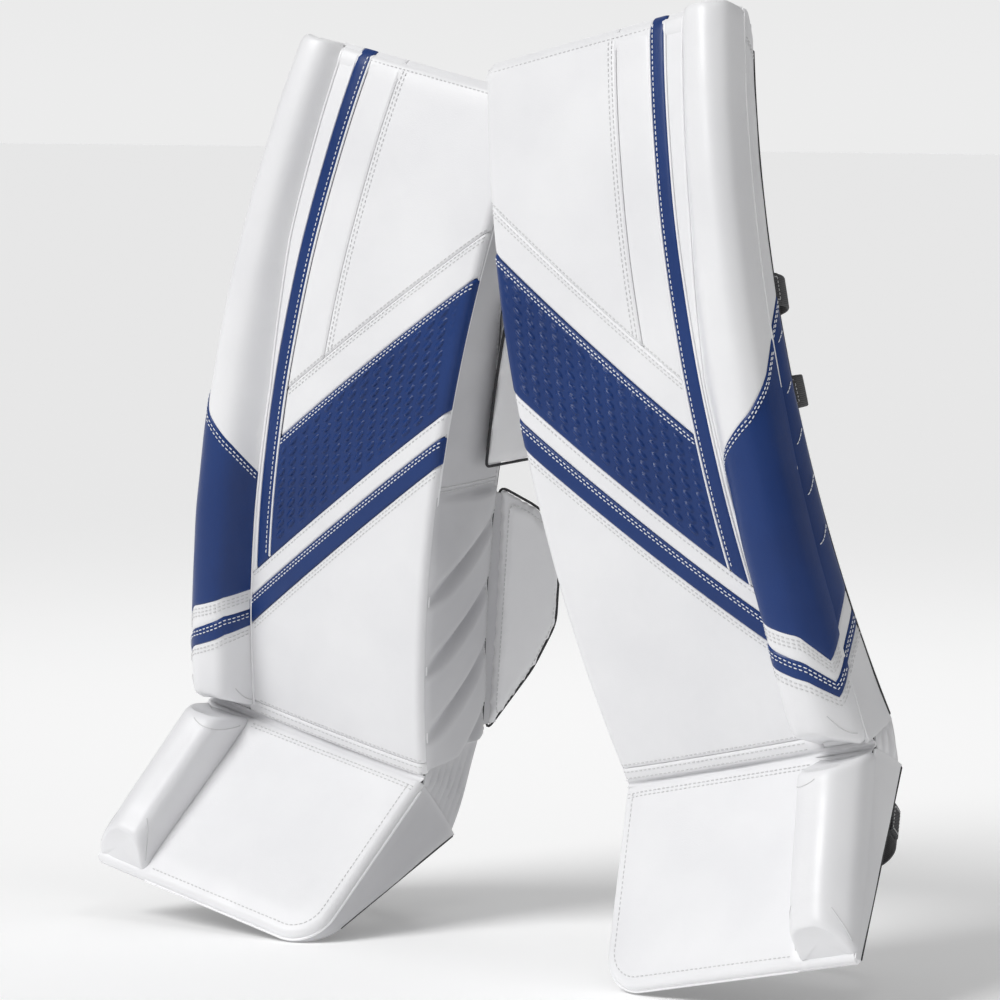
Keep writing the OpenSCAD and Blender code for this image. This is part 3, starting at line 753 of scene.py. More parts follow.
def build_roll(pad):
    heights, keys = roll_section(120)
    where = [keys[0], keys[1], keys[3], keys[4] + 0.4 * (keys[5] - keys[4]), 1.0]
    lines = {k: np.interp(ROLL_Q, where, v) for k, v in ROLL_LINES.items()}
    # the lower end is sloped: the crown starts higher than the seam
    foot = ROLL_FOOT + np.clip(heights[:, 1], 0, 60) * 0.66
    top = LEG_TOP - np.clip(roll_section(690)[0][:, 1], 0, 60) * 0.25
    rows, mats, dist, raised = banded(lines, foot, top, [10, 6, 6, 26, 34])
    rings = np.zeros((len(rows), ROLL_N + 5, 3))
    for i, row in enumerate(rows):
        for k, s in enumerate(row):
            section = roll_section(int(round(s)))[0]
            end = end_rounding(min((s - foot[k]) / 11, (top[k] - s) / 12))
            lift = seam_lift(raised[i], dist[i, k], 0.7) + roll_wave(k, s) * end
            x, d = drawn_in(off_outline(section, k, lift)[0], section[k][1], end)
            rings[i, k] = leg(x, s, d)
        middle = row[0] * 0.5 + row[-1] * 0.5
        x0, d1 = roll_section(int(round(row[0])))[0][0][0], roll_section(int(round(row[-1])))[0][-1][1]
        closing = [(278.4, d1, row[-1]), (278.0, min(d1, -SKIN), row[-1]), (262.0, -SKIN, middle),
                   (244.0, -SKIN, middle), (x0 + 1.5, -SKIN, row[0])]
        for j, (x, d, s) in enumerate(closing):
            rings[i, ROLL_N + j] = leg(x, s, d)
    p = Parts()
    p.sweep(rings, np.repeat(mats, ROLL_N + 5, axis=1))
    p.make("roll_skin", pad, "leg", [WHITE, BLUE], "white_skin", ["roll_cover", "roll_core"], fill=0.9)

    def along(parts, name, offsets, lift):
        for off in offsets:
            pts, normals = [], []
            for k in range(1, ROLL_N - 1):
                s = lines[name][k] + off
                o, out = off_outline(roll_section(int(round(s)))[0], k, lift + roll_wave(k, s))
                pts.append(leg(o[0], s, o[1]))
                normals.append(leg(o[0] + out[0], s, o[1] + out[1]) - pts[-1])
            parts.stitches(np.array(pts), np.array(normals))
    p = Parts()
    along(p, "blue_top", (-4.0, -8.0), 1.0)
    along(p, "band_top", (-3.4, -7.0), 1.0)
    p.make("roll_thread", pad, "leg", [THREAD_W], "blue_skin")
    p = Parts()
    for k0, k1, rise, bow in ((26, 20, 12, 5), (1, 6, 9, 3)):
        pts = []
        for u in np.linspace(0, 1, 20):
            k = lerp(k0, k1, u)
            s = float(np.interp(k, np.arange(ROLL_N), foot)) + 9 + rise * u - bow * math.sin(math.pi * u)
            x, d = between(roll_section(s)[0], k, 0.15 + roll_wave(k, s))
            pts.append(leg(x, s, d))
        p.tube(np.array(pts), 0.5, 6)
    p.make("roll_dart_shadows", pad, "leg", [SEAM_SHADOW], "white_skin")
    p = Parts()
    along(p, "band_foot", (-4.0, -8.0), 0.2)
    along(p, "blue_foot", (-3.6, -7.2, -10.8), 0.2)
    p.make("roll_stitching", pad, "leg", [SHADED_THREAD], "white_skin")
    # white piping along the inner seam
    p = Parts()
    p.tube(np.array([leg(seam_x(s) - 0.6, s, 0.6 + float(face_lift(seam_x(s), s)))
                     for s in np.linspace(12, LEG_TOP - 6, 120)]), 1.0, 6)
    p.make("roll_piping", pad, "leg", [PIPING], "white_skin")


def wall_point(s, v, lift):
    """A point of the lateral wall: v runs from the roll's outer seam to the back."""
    d0 = seam_d(s) + 1.0
    d = d0 + (WALL_BACK - d0) * v
    bulge = 1.6 * math.sin(math.pi * v) ** 0.6 + 0.5 * float(ripple(d * 2.2, s, 1.8))
    return leg(PAD_W + bulge + lift, s, d), d


def build_wall(pad):
    """The lateral side wall, behind the roll's outer seam."""
    n = 13
    v = np.linspace(0, 1, n)
    lines = {k: ROLL_LINES[k][-1] + (WALL_LINES[k] - ROLL_LINES[k][-1]) * v ** 0.8 for k in ROLL_LINES}
    top = LEG_TOP - 2 - 26 * smooth01((v - 0.1) / 0.9) ** 1.5
    rows, mats, dist, raised = banded(lines, np.full(n, 5.0), top, [10, 5, 5, 26, 34])
    outer, inner = np.zeros((*rows.shape, 3)), np.zeros((*rows.shape, 3))
    for i, row in enumerate(rows):
        for k, s in enumerate(row):
            outer[i, k], d = wall_point(s, v[k], seam_lift(raised[i], dist[i, k], 0.6) - 0.4)
            inner[i, k] = leg(277.6, s, d)
    p = Parts()
    p.sheet(outer, inner, np.repeat(mats, n - 1, axis=1))
    p.make("wall_skin", pad, "leg", [WHITE, BLUE], "white_skin", ["lateral_wall"], fill=0.4)

    def on_wall(name, off):
        return np.array([wall_point(lines[name][k] + off, v[k], 0.4)[0] for k in range(n)])
    # grey: thread greyed as painted shade of the stitch holes
    white, grey = Parts(), Parts()
    for off in (-4, -8):
        white.stitches(on_wall("blue_top", off), LATERAL)
        white.stitches(on_wall("band_top", off * 0.9), LATERAL)
        grey.stitches(on_wall("band_foot", off), LATERAL)
    for k in range(5):
        s = 372 - 46 * k
        d = np.linspace(seam_d(s) - 6, -37, 14)
        arc = s + 10 * ((d + 22) / 15) ** 2 - 0.4 * (d + 22)
        white.stitches(leg(282.2, arc, d), LATERAL, length=4.2, gap=0.6)
    d = np.linspace(seam_d(650) - 1, -38, 14)
    for off in (0, 3.4):
        arc = 664 - off - 22 * ((seam_d(650) - d) / 14) ** 2
        grey.stitches(leg(281.4, arc, d), LATERAL, length=2.6, gap=1.3)
    white.make("wall_thread", pad, "leg", [THREAD_W], "blue_skin")
    grey.make("wall_stitching", pad, "leg", [SHADED_THREAD], "white_skin")
    # cord in the outer seam
    p = Parts()
    p.tube(np.array([leg(280.9, s, seam_d(s) + 0.6) for s in np.linspace(8, LEG_TOP - 8, 130)]), 1.0, 6)
    p.make("wall_piping", pad, "leg", [WHITE], "white_skin")


# --------------------------------------------------------------------------- medial side, back and top
GUSSET_SEAM = 302.0
PLEAT_FOOT, PLEAT_PITCH, PLEAT_SLANT = 43.0, 74.0, 0.78


def pleats(s, depth):
    """Three slanting grooves: below each a short ledge that faces up, above it a longer slope."""
    r = (s - PLEAT_SLANT * (depth - 12) - PLEAT_FOOT) / PLEAT_PITCH
    f = r - np.floor(r)
    slope, ledge = 0.26, 0.16
    shape = np.minimum(smooth01(f / slope), smooth01((1 - f) / ledge))
    above = smooth01((r - 2) / slope) * (1 - 0.6 * smooth01((r - 2.3) / 0.9))
    below = smooth01((-1 - r) / ledge)
    return np.where(r > 2, above, np.where(r < -1, below, shape))


def gusset_lift(s, depth):
    sd = side_depth(s)
    v = np.clip((depth - 7) / np.maximum(sd - 7, 1), 0, 1)
    pillow = np.sin(math.pi * v) ** 0.55
    low = smooth01((GUSSET_SEAM - s) / 14)
    return pillow * (1.6 + low * 10.5 * pleats(s, depth)) + 0.4 * ripple(depth * 1.5, s, 1.6) - 0.2


def build_gusset(pad):
    ns, nd = ((230, 30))
    s = np.linspace(6, LEG_TOP - 2, ns)[:, None]
    v = np.linspace(0, 1, nd)[None, :]
    depth = 6.5 + (side_depth(s) - 6.5) * v
    back_cut = smooth01((s - 676) / 16) * 8 * v
    lift = gusset_lift(s, depth)
    edge = np.minimum(1, np.minimum(s - 5, LEG_TOP - 1 - s) / 4)
    outer = leg(-lift * edge, s + 0 * v, -depth + back_cut)
    inner = leg(2.6 + 0 * depth, s + 0 * v, -depth + back_cut)
    p = Parts()
    p.sheet(outer, inner)
    p.make("gusset_skin", pad, "leg", [MEDIAL_SHADED], "medial_skin", ["medial_gusset"], fill=0.7)
    p = Parts()
    for off in (0, 4.2):
        dd = np.linspace(10, side_depth(300) - 4, 40)
        ss = GUSSET_SEAM + off + 0 * dd
        p.stitches(leg(-gusset_lift(ss, dd) - 0.1, ss, -dd), MEDIALLY)
    ss = np.linspace(12, LEG_TOP - 10, 200)
    dd = side_depth(ss) - 4.5
    p.stitches(leg(-gusset_lift(ss, dd) - 0.1, ss, -dd), MEDIALLY)
    p.make("gusset_stitching", pad, "leg", [SHADED_THREAD], "medial_skin")
    p = Parts()
    ss = np.linspace(7, LEG_TOP - 10, 150)
    p.tube(leg(1.2, ss, -side_depth(ss) + 0.4), 1.6)
    p.make("gusset_binding", pad, "leg", [BINDING], "webbing")


RISER_X, RISER_D = 59.5, 36.0


def build_riser(pad):
    """The cover of the riser behind the medial side."""
    n = 150
    ss = np.linspace(6, LEG_TOP - 8, n)
    rings = []
    for q in ss:
        sd = max(float(side_depth(q)) - 1.2, RISER_D + 4)
        r = min(12.0, (sd - RISER_D) * 0.6)
        e = min(1.0, (q - 6) / 6, (LEG_TOP - 8 - q) / 6)
        e = 0.86 + 0.14 * math.sqrt(max(0.0, 1 - (1 - e) ** 2))
        pts = [(2.7, RISER_D), (2.7, (sd + RISER_D) / 2), (3.2, sd)]
        pts += [(x, sd + math.sin(math.pi * (x - 3) / 46) * (sd > 50)) for x in (10, 18, 26, 34, 42)]
        corner = np.radians([0, 22, 45, 68, 90])
        pts += [(RISER_X - r + r * math.sin(a), sd - r + r * math.cos(a)) for a in corner]
        pts += [(RISER_X + 0.7, lerp(RISER_D, sd, 0.4)), (RISER_X + 0.7, RISER_D), (30, RISER_D)]
        pts = np.array(pts)
        x, d = (np.mean(pts, axis=0) * (1 - e) + pts * e).T
        rings.append(leg(x, q, 0.35 * ripple(pts[:, 0] * 2, q, 1.4) - d))
    p = Parts()
    p.sweep(np.array(rings))
    p.make("riser_cover", pad, "leg", [LINER], "liner_fabric", ["medial_riser"], fill=0.7)


def build_liner(pad):
    """The back liner with its edge binding."""
    xs = spread(2.7, 277.8, 8)
    ss = spread(6, LEG_TOP - 16, 9)
    X, S = np.meshgrid(xs, ss, indexing="ij")
    e = np.minimum(np.minimum(X - 2.7, 277.8 - X), np.minimum(S - 6, LEG_TOP - 16 - S))
    back = -LINER_D - 1.2 * smooth01(e / 14) - 0.5 * ripple(X, S) * smooth01(e / 14)
    p = Parts()
    p.sheet(leg(X, S, back), leg(X, S, -37.0 + 0 * X))
    p.make("liner_skin", pad, "leg", [LINER], "liner_fabric", ["back_liner", "leg_stiffener", "leg_core"],
           fill=0.3)
    p = Parts()
    s1 = np.linspace(10, LEG_TOP - 40, 120)
    p.tube(leg(278.6, s1, -40.4), 1.8)
    p.tube(leg(np.linspace(64, 276, 60), 8, -40.6), 1.8)
    p.make("liner_binding", pad, "leg", [BINDING], "webbing")


def build_top(pad):
    """The rounded cover of the top end."""
    p = Parts()
    xs = np.linspace(0.8, 279.6, 70)
    ang = np.linspace(0, 2 * math.pi, 24, endpoint=False)
    rings = []
    for x in xs:
        e = min(1.0, (x - 0.8) / 9, (279.6 - x) / 9)
        e = math.sqrt(max(0.04, 1 - (1 - e) ** 2))
        c, n = np.cos(ang), np.sin(ang)
        d = -19.5 + 20.2 * np.sign(c) * np.abs(c) ** 0.6 * (0.9 + 0.1 * e)
        s = LEG_TOP - 13 + 12.6 * np.sign(n) * np.abs(n) ** 0.6 * e
        s = np.where(n > 0, s - 9 * smooth01((-d - 22) / 18) ** 1.3, s)
        rings.append(leg(x, s + 0.3 * ripple(x, d), d))
    p.sweep(np.array(rings))
    p.make("top_skin", pad, "leg", [WHITE], "white_skin", fill=0.7)
    p = Parts()
    x1 = np.linspace(6, 214, 80)
    pts = leg(x1, LEG_TOP - 9, -0.2 + face_lift(x1, LEG_TOP - 9))
    p.stitches(pts, face_normal(pts))
    p.make("top_stitching", pad, "leg", [SHADED_THREAD], "white_skin")


# --------------------------------------------------------------------------- boot
BOOT_LEN, TOE_R = 205.0, 40.0
BOOT_EDGE = 7.0


def toe_reach(x):
    r = np.clip(TOE_R - np.asarray(x, float), 0, TOE_R)
    return BOOT_LEN - TOE_R + np.sqrt(TOE_R ** 2 - r ** 2)


def toe_inset(t):
    r = np.clip(np.asarray(t, float) - (BOOT_LEN - TOE_R), 0, TOE_R)
    return TOE_R - np.sqrt(TOE_R ** 2 - r ** 2)


def outline_gap(x, t):
    """Distance from the boot's medial and toe edges."""
    corner = (x < TOE_R) & (t > BOOT_LEN - TOE_R)
    return np.where(corner, TOE_R - np.hypot(TOE_R - x, t - BOOT_LEN + TOE_R), np.minimum(x, BOOT_LEN - t))


def boot_back_depth(t):
    return np.interp(t, [0, BOOT_LEN], [46, 11])


def boot_side_depth(t):
    return np.interp(t, [0, BOOT_LEN], [97, 11])


def boot_lift(x, t):
    e = outline_gap(x, t)
    r = BOOT_EDGE
    rounding = -(r - np.sqrt(r * r - np.clip(r - e, 0, r) ** 2))
    body = 2.0 * smooth01(e / 30) * smooth01(t / 12) + 0.5 * ripple(x + 40, t) * smooth01(e / 12)
    return rounding + body


BOOT_ROLL_KEYS = [0, 60, 150, 205]
BOOT_ROLL_FORM = np.array([
    [219, 223.5, 36, 243, 43, 262, 40, 277, 23, 281, 12, -4],
    [218, 225.0, 33, 244, 38, 262, 36, 277, 20, 281, 8, -6],
    [218, 226.0, 29, 245, 34, 262, 32, 277, 16, 281, 4, -6],
    [219, 227.0, 24, 245, 28, 262, 26, 277, 12, 281, 2, -5]], float)
TOE_TURN = np.linspace(0.05, math.pi / 2, 20)


@lru_cache(maxsize=None)
def boot_section(t):
    return outline_of(form_at(t, BOOT_ROLL_KEYS, BOOT_ROLL_FORM))[0]


def toe_path(inset):
    """Points (x, t) down the boot's medial edge, round its toe corner and along its toe."""
    x = np.r_[np.full(40, inset), TOE_R - (TOE_R - inset) * np.cos(TOE_TURN), np.linspace(44, 216, 50)]
    corner = BOOT_LEN - TOE_R + (TOE_R - inset) * np.sin(TOE_TURN)
    return x, np.r_[np.linspace(10, BOOT_LEN - TOE_R, 40), corner, np.full(50, BOOT_LEN - inset)]


def build_boot(pad):
    step = 5.0
    near = np.array([0, 0.35, 1.0, 2.0, 3.4, 5.0, 7.0])
    cols = np.r_[near, np.linspace(7, 220, int(213 / step))[1:], 222, 224, 240, 260, 276, 278.4]
    out = pad.boot(0, 0, 1) - pad.boot(0, 0, 0)
    outer, inner = [], []
    for x in cols:
        end = float(toe_reach(x))
        t = np.r_[3, 3.6, 5, np.linspace(8, end - 7, int(190 / step)), end - near[-2::-1]]
        d = boot_lift(x, t) - 1.2 * (1 - smooth01((t - 3) / 4)) - 1.6 * smooth01((x - 216) / 4)
        outer.append(pad.boot(x, t, d))
        k = 1 - SKIN / 110
        inner.append(pad.boot(110 + (x - 110) * k, 100 + (t - 100) * k, np.minimum(d - SKIN, -SKIN)))
    p = Parts()
    p.sheet(np.array(outer), np.array(inner))
    p.make("boot_skin", pad, "boot", [WHITE], "white_skin", ["boot_face"], fill=0.6)
    p = Parts()
    x = np.linspace(4, 214, 80)
    for t in (11.6, 15.2):
        p.stitches(pad.boot(x, t, boot_lift(x, t)), out)
    x, t = toe_path(11.0)
    p.stitches(pad.boot(x, t, boot_lift(x, t)), out)
    p.make("boot_stitching", pad, "boot", [SHADED_THREAD], "white_skin")
    p = Parts()
    x, t = toe_path(0.0)
    p.tube(pad.boot(x - 0.2 * (x < 1), t + 0.2, -BOOT_EDGE - 0.8), 1.4)
    p.make("boot_piping", pad, "boot", [PIPING], "white_skin")
    build_boot_sides(pad)
    build_boot_body(pad)
    build_boot_roll(pad)


def boot_side(pad, name, path, depth_at, mat, slot, node, puff):
    """A side wall along a path of (x, t, outward x, outward t)."""
    v = np.linspace(0, 1, 10)
    outer, inner = [], []
    for x, t, nx, nt in path:
        depth = float(depth_at(t))
        front = 3.0 if x >= PAD_W else BOOT_EDGE
        d = -front - (depth - front) * v
        lift = puff * np.sin(math.pi * v) ** 0.6 * min(1, (depth - 8) / 30)
        lift = lift + 0.35 * ripple(d * 1.6, t + x, 1.6) * min(1, (depth - 8) / 20)
        outer.append(pad.boot(x + nx * lift, t + nt * lift, d))
        inner.append(pad.boot(x - nx * 2.4, t - nt * 2.4, d))
    p = Parts()
    p.sheet(np.array(outer), np.array(inner))
    p.make(name, pad, "boot", [mat], slot, [node], fill=0.5)


def build_boot_sides(pad):
    foot = BOOT_LEN - TOE_R
    path = [(0, t, -1, 0) for t in np.linspace(3.5, foot, 50)]
    for a in np.linspace(0, math.pi / 2, 16)[1:]:
        c, n = math.cos(a), math.sin(a)
        path.append((TOE_R - TOE_R * c, foot + TOE_R * n, -c, n))
    path += [(x, BOOT_LEN, 0, 1) for x in np.linspace(TOE_R, 139.5, 20)[1:]]
    boot_side(pad, "boot_gusset_skin", path, boot_side_depth, MEDIAL_SHADED, "medial_skin", "boot_gusset", 2.4)
    path = [(x, BOOT_LEN, 0, 1) for x in np.linspace(140.5, 277, 26)]
    path += [(PAD_W, t, 1, 0) for t in np.linspace(BOOT_LEN - 3, 3.5, 50)]
    boot_side(pad, "boot_wall_skin", path, boot_back_depth, WHITE, "white_skin", "boot_wall", 1.2)


def build_boot_body(pad):
    """The dark body behind the boot's covers, with its bindings."""
    rings = []
    for t in np.r_[4, 6, np.linspace(10, BOOT_LEN - 8, 30), BOOT_LEN - 4, BOOT_LEN - 2.8]:
        x0 = float(toe_inset(min(t + 2.6, BOOT_LEN))) + 2.6
        a, b = float(boot_side_depth(t)) - 0.6, float(boot_back_depth(t)) - 0.2
        r = min(10, max(0.6, (a - b) * 0.4))
        e = min(1.0, (t - 4) / 4 + 0.5, (BOOT_LEN - 2.8 - t) / 4 + 0.5)
        front = -3.4 - 3 * (1 - e)
        pts = [(x0, front), (x0, -a * 0.5 - 2), (x0, -a)]
        pts += [(max(x0 + dx, x), -a) for dx, x in ((4, 20), (6, 40), (8, 59.0 - r))]
        pts += [(max(x0 + 9, 59.0), -a + r), (max(x0 + 10, 59.0), -b - 1)]
        pts += [(max(x0 + 14, x), -b) for x in (62, 100, 150, 200, 250, 274)]
        pts += [(277.4, -b + 1.5), (277.4, front), (180, -3.4), (90, -3.4)]
        rings.append([pad.boot(x, t, d) for x, d in pts])
    p = Parts()
    p.sweep(np.array(rings))
    p.make("boot_body", pad, "boot", [LINER], "liner_fabric", ["boot_core", "boot_liner"], fill=0.9)
    p = Parts()
    t = np.linspace(6, BOOT_LEN - 4, 50)
    p.tube(pad.boot(279, t, -boot_back_depth(t)), 1.6)
    t = np.linspace(6, BOOT_LEN - TOE_R, 50)
    p.tube(pad.boot(1.2, t, -boot_side_depth(t)), 1.6)
    p.make("boot_binding", pad, "boot", [BINDING], "webbing")


def build_boot_roll(pad):
    heights = np.clip(boot_section(0)[:, 1], 0, 60)
    top, toe = 7 + heights * 0.66, 199 - heights * 0.42

    def wave(k, t):
        return 0.7 * ripple(k * 4.0, t, 1.6)

    rows = [top + (toe - top) * e for e in eased(60)]
    rings = np.zeros((len(rows), ROLL_N + 4, 3))
    for i, row in enumerate(rows):
        for k, t in enumerate(row):
            section = boot_section(int(round(t)))
            end = end_rounding(min((t - top[k]) / 10, (toe[k] - t) / 9))
            x, d = drawn_in(off_outline(section, k, wave(k, t) * end)[0], section[k][1], end)
            rings[i, k] = pad.boot(x, t, d)
        d1 = min(boot_section(int(round(row[-1])))[-1][1], -3)
        closing = [(278.2, d1, row[-1]), (262, -3, row[-1]), (244, -3, row[0]), (221, -3, row[0])]
        for j, (x, d, t) in enumerate(closing):
            rings[i, ROLL_N + j] = pad.boot(x, t, d)
    p = Parts()
    p.sweep(rings)
    p.make("boot_roll_skin", pad, "boot", [WHITE], "white_skin", ["boot_roll_cover", "boot_roll_core"],
           fill=0.9)

    p = Parts()
    for k0, k1, edge, start, climb, bow in ((2, 14, top, 9, 0, 7), (9, 2, toe, -24, 19, 0),
                                            (20, 26, toe, -22, 16, 0)):
        pts = []
        for u in np.linspace(0, 1, 22):
            k = lerp(k0, k1, u)
            t = float(np.interp(k, np.arange(ROLL_N), edge)) + start + climb * u
            t += bow * max(0.0, math.sin(math.pi * u)) ** 0.8
            x, d = between(boot_section(t), k, 0.15 + wave(k, t))
            pts.append(pad.boot(x, t, d))
        p.tube(np.array(pts), 0.5, 6)
    p.make("boot_roll_dart_shadows", pad, "boot", [SEAM_SHADOW], "white_skin")


# --------------------------------------------------------------------------- folds at the break
def build_folds(pad):
    # crease across the face
    x = spread(1.5, 279, 4)
    v = np.linspace(0, 1, 9)
    X, V = np.meshgrid(x, v, indexing="ij")
    a, b = leg(X, 3.2, -0.2), pad.boot(X, 4.2, -0.4)
    dip = (np.sin(math.pi * V) ** 0.8 * (4.4 + 0.6 * ripple(X * 3, V * 10)))[..., None]
    inward = np.array([0, 1.0, 0.0])
    grid = a * (1 - V[..., None]) + b * V[..., None] + inward * dip
    p = Parts()
    p.sheet(grid, grid + inward * 2.2)
    start, end = pad.world(leg(110, 5, -2)), pad.world(pad.boot(110, 5, -2))
    p.make("break_crease", pad, None, [WHITE], "white_skin", bend=("leg", "boot", start, end))
    # folds that close the wedge at both sides
    for name, xs, side, far, mat, slot in (("break_fold_medial", 0.5, -1, 88.0, MEDIAL_SHADED, "medial_skin"),
                                           ("break_fold_lateral", 279.4, 1, 40.0, WHITE, "white_skin")):
        depth = np.linspace(7.5, far, 26)
        D, V = np.meshgrid(depth, np.linspace(0, 1, 15), indexing="ij")
        a, b = leg(xs, 5.2, -D), pad.boot(xs, 4.0, -D)
        bulge = np.sin(math.pi * V) * (2.2 + 1.6 * np.sin(D * 0.55 + 3 * V)) * smooth01((D - 5) / 14)
        grid = a * (1 - V[..., None]) + b * V[..., None]
        grid = grid + np.stack([side * bulge, 0 * bulge, 0 * bulge], -1)
        p = Parts()
        p.sheet(grid, grid + np.array([-side * 2.0, 0, 0]))
        start, end = pad.world(leg(xs, 6, -far * 0.6)), pad.world(pad.boot(xs, 4, -far * 0.6))
        p.make(name, pad, None, [mat], slot, bend=("leg", "boot", start, end))
    # dark bellows behind
    X, V = np.meshgrid(spread(4, 276, 10), np.linspace(0, 1, 17), indexing="ij")
    D = np.interp(V, [0, 0.5, 1], [37.0, 9.0, 42.0])
    a, b = leg(X, 5.5, -D), pad.boot(X, 4.5, -D)
    w = smooth01((V - 0.42) / 0.16)[..., None]
    grid = a * (1 - w) + b * w
    p = Parts()
    p.sheet(grid, grid + np.array([0, 1.8, 0.0]))
    start, end = pad.world(leg(140, 6, -25)), pad.world(pad.boot(140, 4, -25))
    p.make("break_bellows", pad, None, [LINER], "liner_fabric", bend=("leg", "boot", start, end))


# --------------------------------------------------------------------------- padded pieces behind
def prism(outline, lo, hi, place, step):
    """A closed block: an outline swept from lo to hi, placed by a function of (u, v, w)."""
    o = np.asarray(outline, float)
    pts = []
    for a, b in zip(o, np.roll(o, -1, axis=0)):
        n = max(1, int(np.linalg.norm(b - a) / step))
        pts += [a + (b - a) * k / n for k in range(n)]
    pts = np.array(pts)
    layers = np.linspace(lo, hi, max(3, int(abs(hi - lo) / step) + 1))
    return np.array([[place(u, v, w) for u, v in pts] for w in layers])


def shrink(outline, by):
    """Moves an outline's edges inwards."""
    o = np.asarray(outline, float)
    area = 0.5 * np.sum(o[:, 0] * np.roll(o[:, 1], -1) - np.roll(o[:, 0], -1) * o[:, 1])
    out = []
    for i in range(len(o)):
        a, b, c = o[i - 1], o[i], o[(i + 1) % len(o)]
        e1, e2 = (b - a) / np.linalg.norm(b - a), (c - b) / np.linalg.norm(c - b)
        n1, n2 = np.array([-e1[1], e1[0]]), np.array([-e2[1], e2[0]])
        if area < 0:
            n1, n2 = -n1, -n2
        m = n1 + n2
        m = m / max(0.35, float(m @ n1))
        out.append(b + m * by)
    return np.array(out)


def swell(rings, cap, voxel=5.0, across=None):
    """Fills a block like a cushion: remesh, cloth under pressure, and a cap on each point's travel.
    A flat pad keeps its outline: it mostly moves across its plane."""
    shape = Parts().sweep(rings)
    mesh = bpy.data.meshes.new("block")
    mesh.from_pydata((np.concatenate(shape.verts) / 1000).tolist(), [], shape.faces)
    bm = bmesh.new()
    bm.from_mesh(mesh)
    bmesh.ops.triangulate(bm, faces=[f for f in bm.faces if len(f.verts) > 4])
    bmesh.ops.recalc_face_normals(bm, faces=bm.faces)
    bm.to_mesh(mesh)
    bm.free()
    obj = bpy.data.objects.new("block", mesh)
    scene = bpy.context.scene
    scene.collection.objects.link(obj)
    mod = obj.modifiers.new("remesh", "REMESH")
    mod.mode = "VOXEL"
    mod.voxel_size = voxel / 1000

    def snapshot():
        ev = obj.evaluated_get(bpy.context.evaluated_depsgraph_get())
        me = ev.to_mesh()
        v = np.zeros(len(me.vertices) * 3)
        me.vertices.foreach_get("co", v)
        f = [list(q.vertices) for q in me.polygons]
        ev.to_mesh_clear()
        return v.reshape(-1, 3), f

    v0, faces = snapshot()
    obj.modifiers.clear()
    fresh = bpy.data.meshes.new("block_fine")
    fresh.from_pydata(v0.tolist(), [], faces)
    obj.data = fresh
    mod = obj.modifiers.new("cloth", "CLOTH")
    st = mod.settings
    st.quality = 5
    st.mass = 0.3
    st.tension_stiffness = st.compression_stiffness = 15
    st.shear_stiffness = 8
    st.bending_stiffness = 1.0
    st.use_pressure = True
    st.uniform_pressure_force = 4
    st.effector_weights.gravity = 0
    mod.point_cache.frame_start, mod.point_cache.frame_end = 1, 20
    for frame_no in range(1, 21):
        scene.frame_set(frame_no)
    v1, _ = snapshot()
    scene.frame_set(1)
    move = v1 - v0
    if across is not None:
        n = np.asarray(across, float) / np.linalg.norm(across)
        out = (move @ n)[:, None] * n
        move = out + 0.12 * (move - out)
    far = np.linalg.norm(move, axis=1)[:, None] + 1e-12
    v1 = v0 + move * np.minimum(1, cap / 1000 / far)
    bpy.data.objects.remove(obj)
    return v1 * 1000, faces


def keep_behind(verts, depth_of):
    """Keeps points behind a surface of the leg."""
    y, z = verts[:, 1] - CENTRE_Y, verts[:, 2] - CENTRE_Z
    r = np.hypot(y, z)
    s = (np.arctan2(z, -y) + LEAN0) * FACE_R
    limit = FACE_R - depth_of(s)
    k = np.minimum(1, limit / r)
    out = verts.copy()
    out[:, 1], out[:, 2] = CENTRE_Y + y * k, CENTRE_Z + z * k
    return out


def round_outline(outline, r=10.0, n=6):
    """An outline with its corners rounded, as points."""
    o = np.asarray(outline, float)
    pts = []
    for i in range(len(o)):
        a, b, c = o[i - 1], o[i], o[(i + 1) % len(o)]
        ra, rc = min(r, np.linalg.norm(a - b) * 0.45), min(r, np.linalg.norm(c - b) * 0.45)
        p0, p1 = b + (a - b) / np.linalg.norm(a - b) * ra, b + (c - b) / np.linalg.norm(c - b) * rc
        for u in np.linspace(0, 1, n):
            pts.append((1 - u) ** 2 * p0 + 2 * u * (1 - u) * b + u * u * p1)
    pts = np.array(pts)
    full = []
    for a, b in zip(pts, np.roll(pts, -1, axis=0)):
        k = max(1, int(np.linalg.norm(b - a) / 6))
        full += [a + (b - a) * j / k for j in range(k)]
    return np.array(full + [full[0]])


WING_S = 172.0
FLAP = [(324, 62), (470, 50), (500, 56), (500, 104), (480, 118), (324, 150)]
BLOCK_S = [348, 367, 386, 405, 424, 443, 462, 481, 500]
# foot, top and height of each cradle, and the channel between its two ridges
CRADLE = {"shin_cradle": (40, 350, 26.0), "knee_cradle": (362, 520, 20.0)}
CRADLE_X, CHANNEL_X, CHANNEL_H = (66, 210), (104, 172), 13.7
CALF_OUTLINE = [(8, -156), (8, 108), (54, 78), (84, 48), (84, -52), (60, -96)]
OUTER_OUTLINE = [(5, -106), (5, 106), (62, 90), (84, 68), (84, -68), (62, -90)]


def wing_place(x0, y0, turn):
    c, s = math.cos(math.radians(turn)), math.sin(math.radians(turn))
    return lambda y, z, x: station(WING_S, x0 + x * c - y * s, y0 + x * s + y * c, z)


CALF_PLACE = wing_place(8, 109, 20)
OUTER_PLACE = wing_place(266, 48, 50)
WINGS = {"calf_wing": (CALF_OUTLINE, CALF_PLACE), "outer_wing": (OUTER_OUTLINE, OUTER_PLACE)}


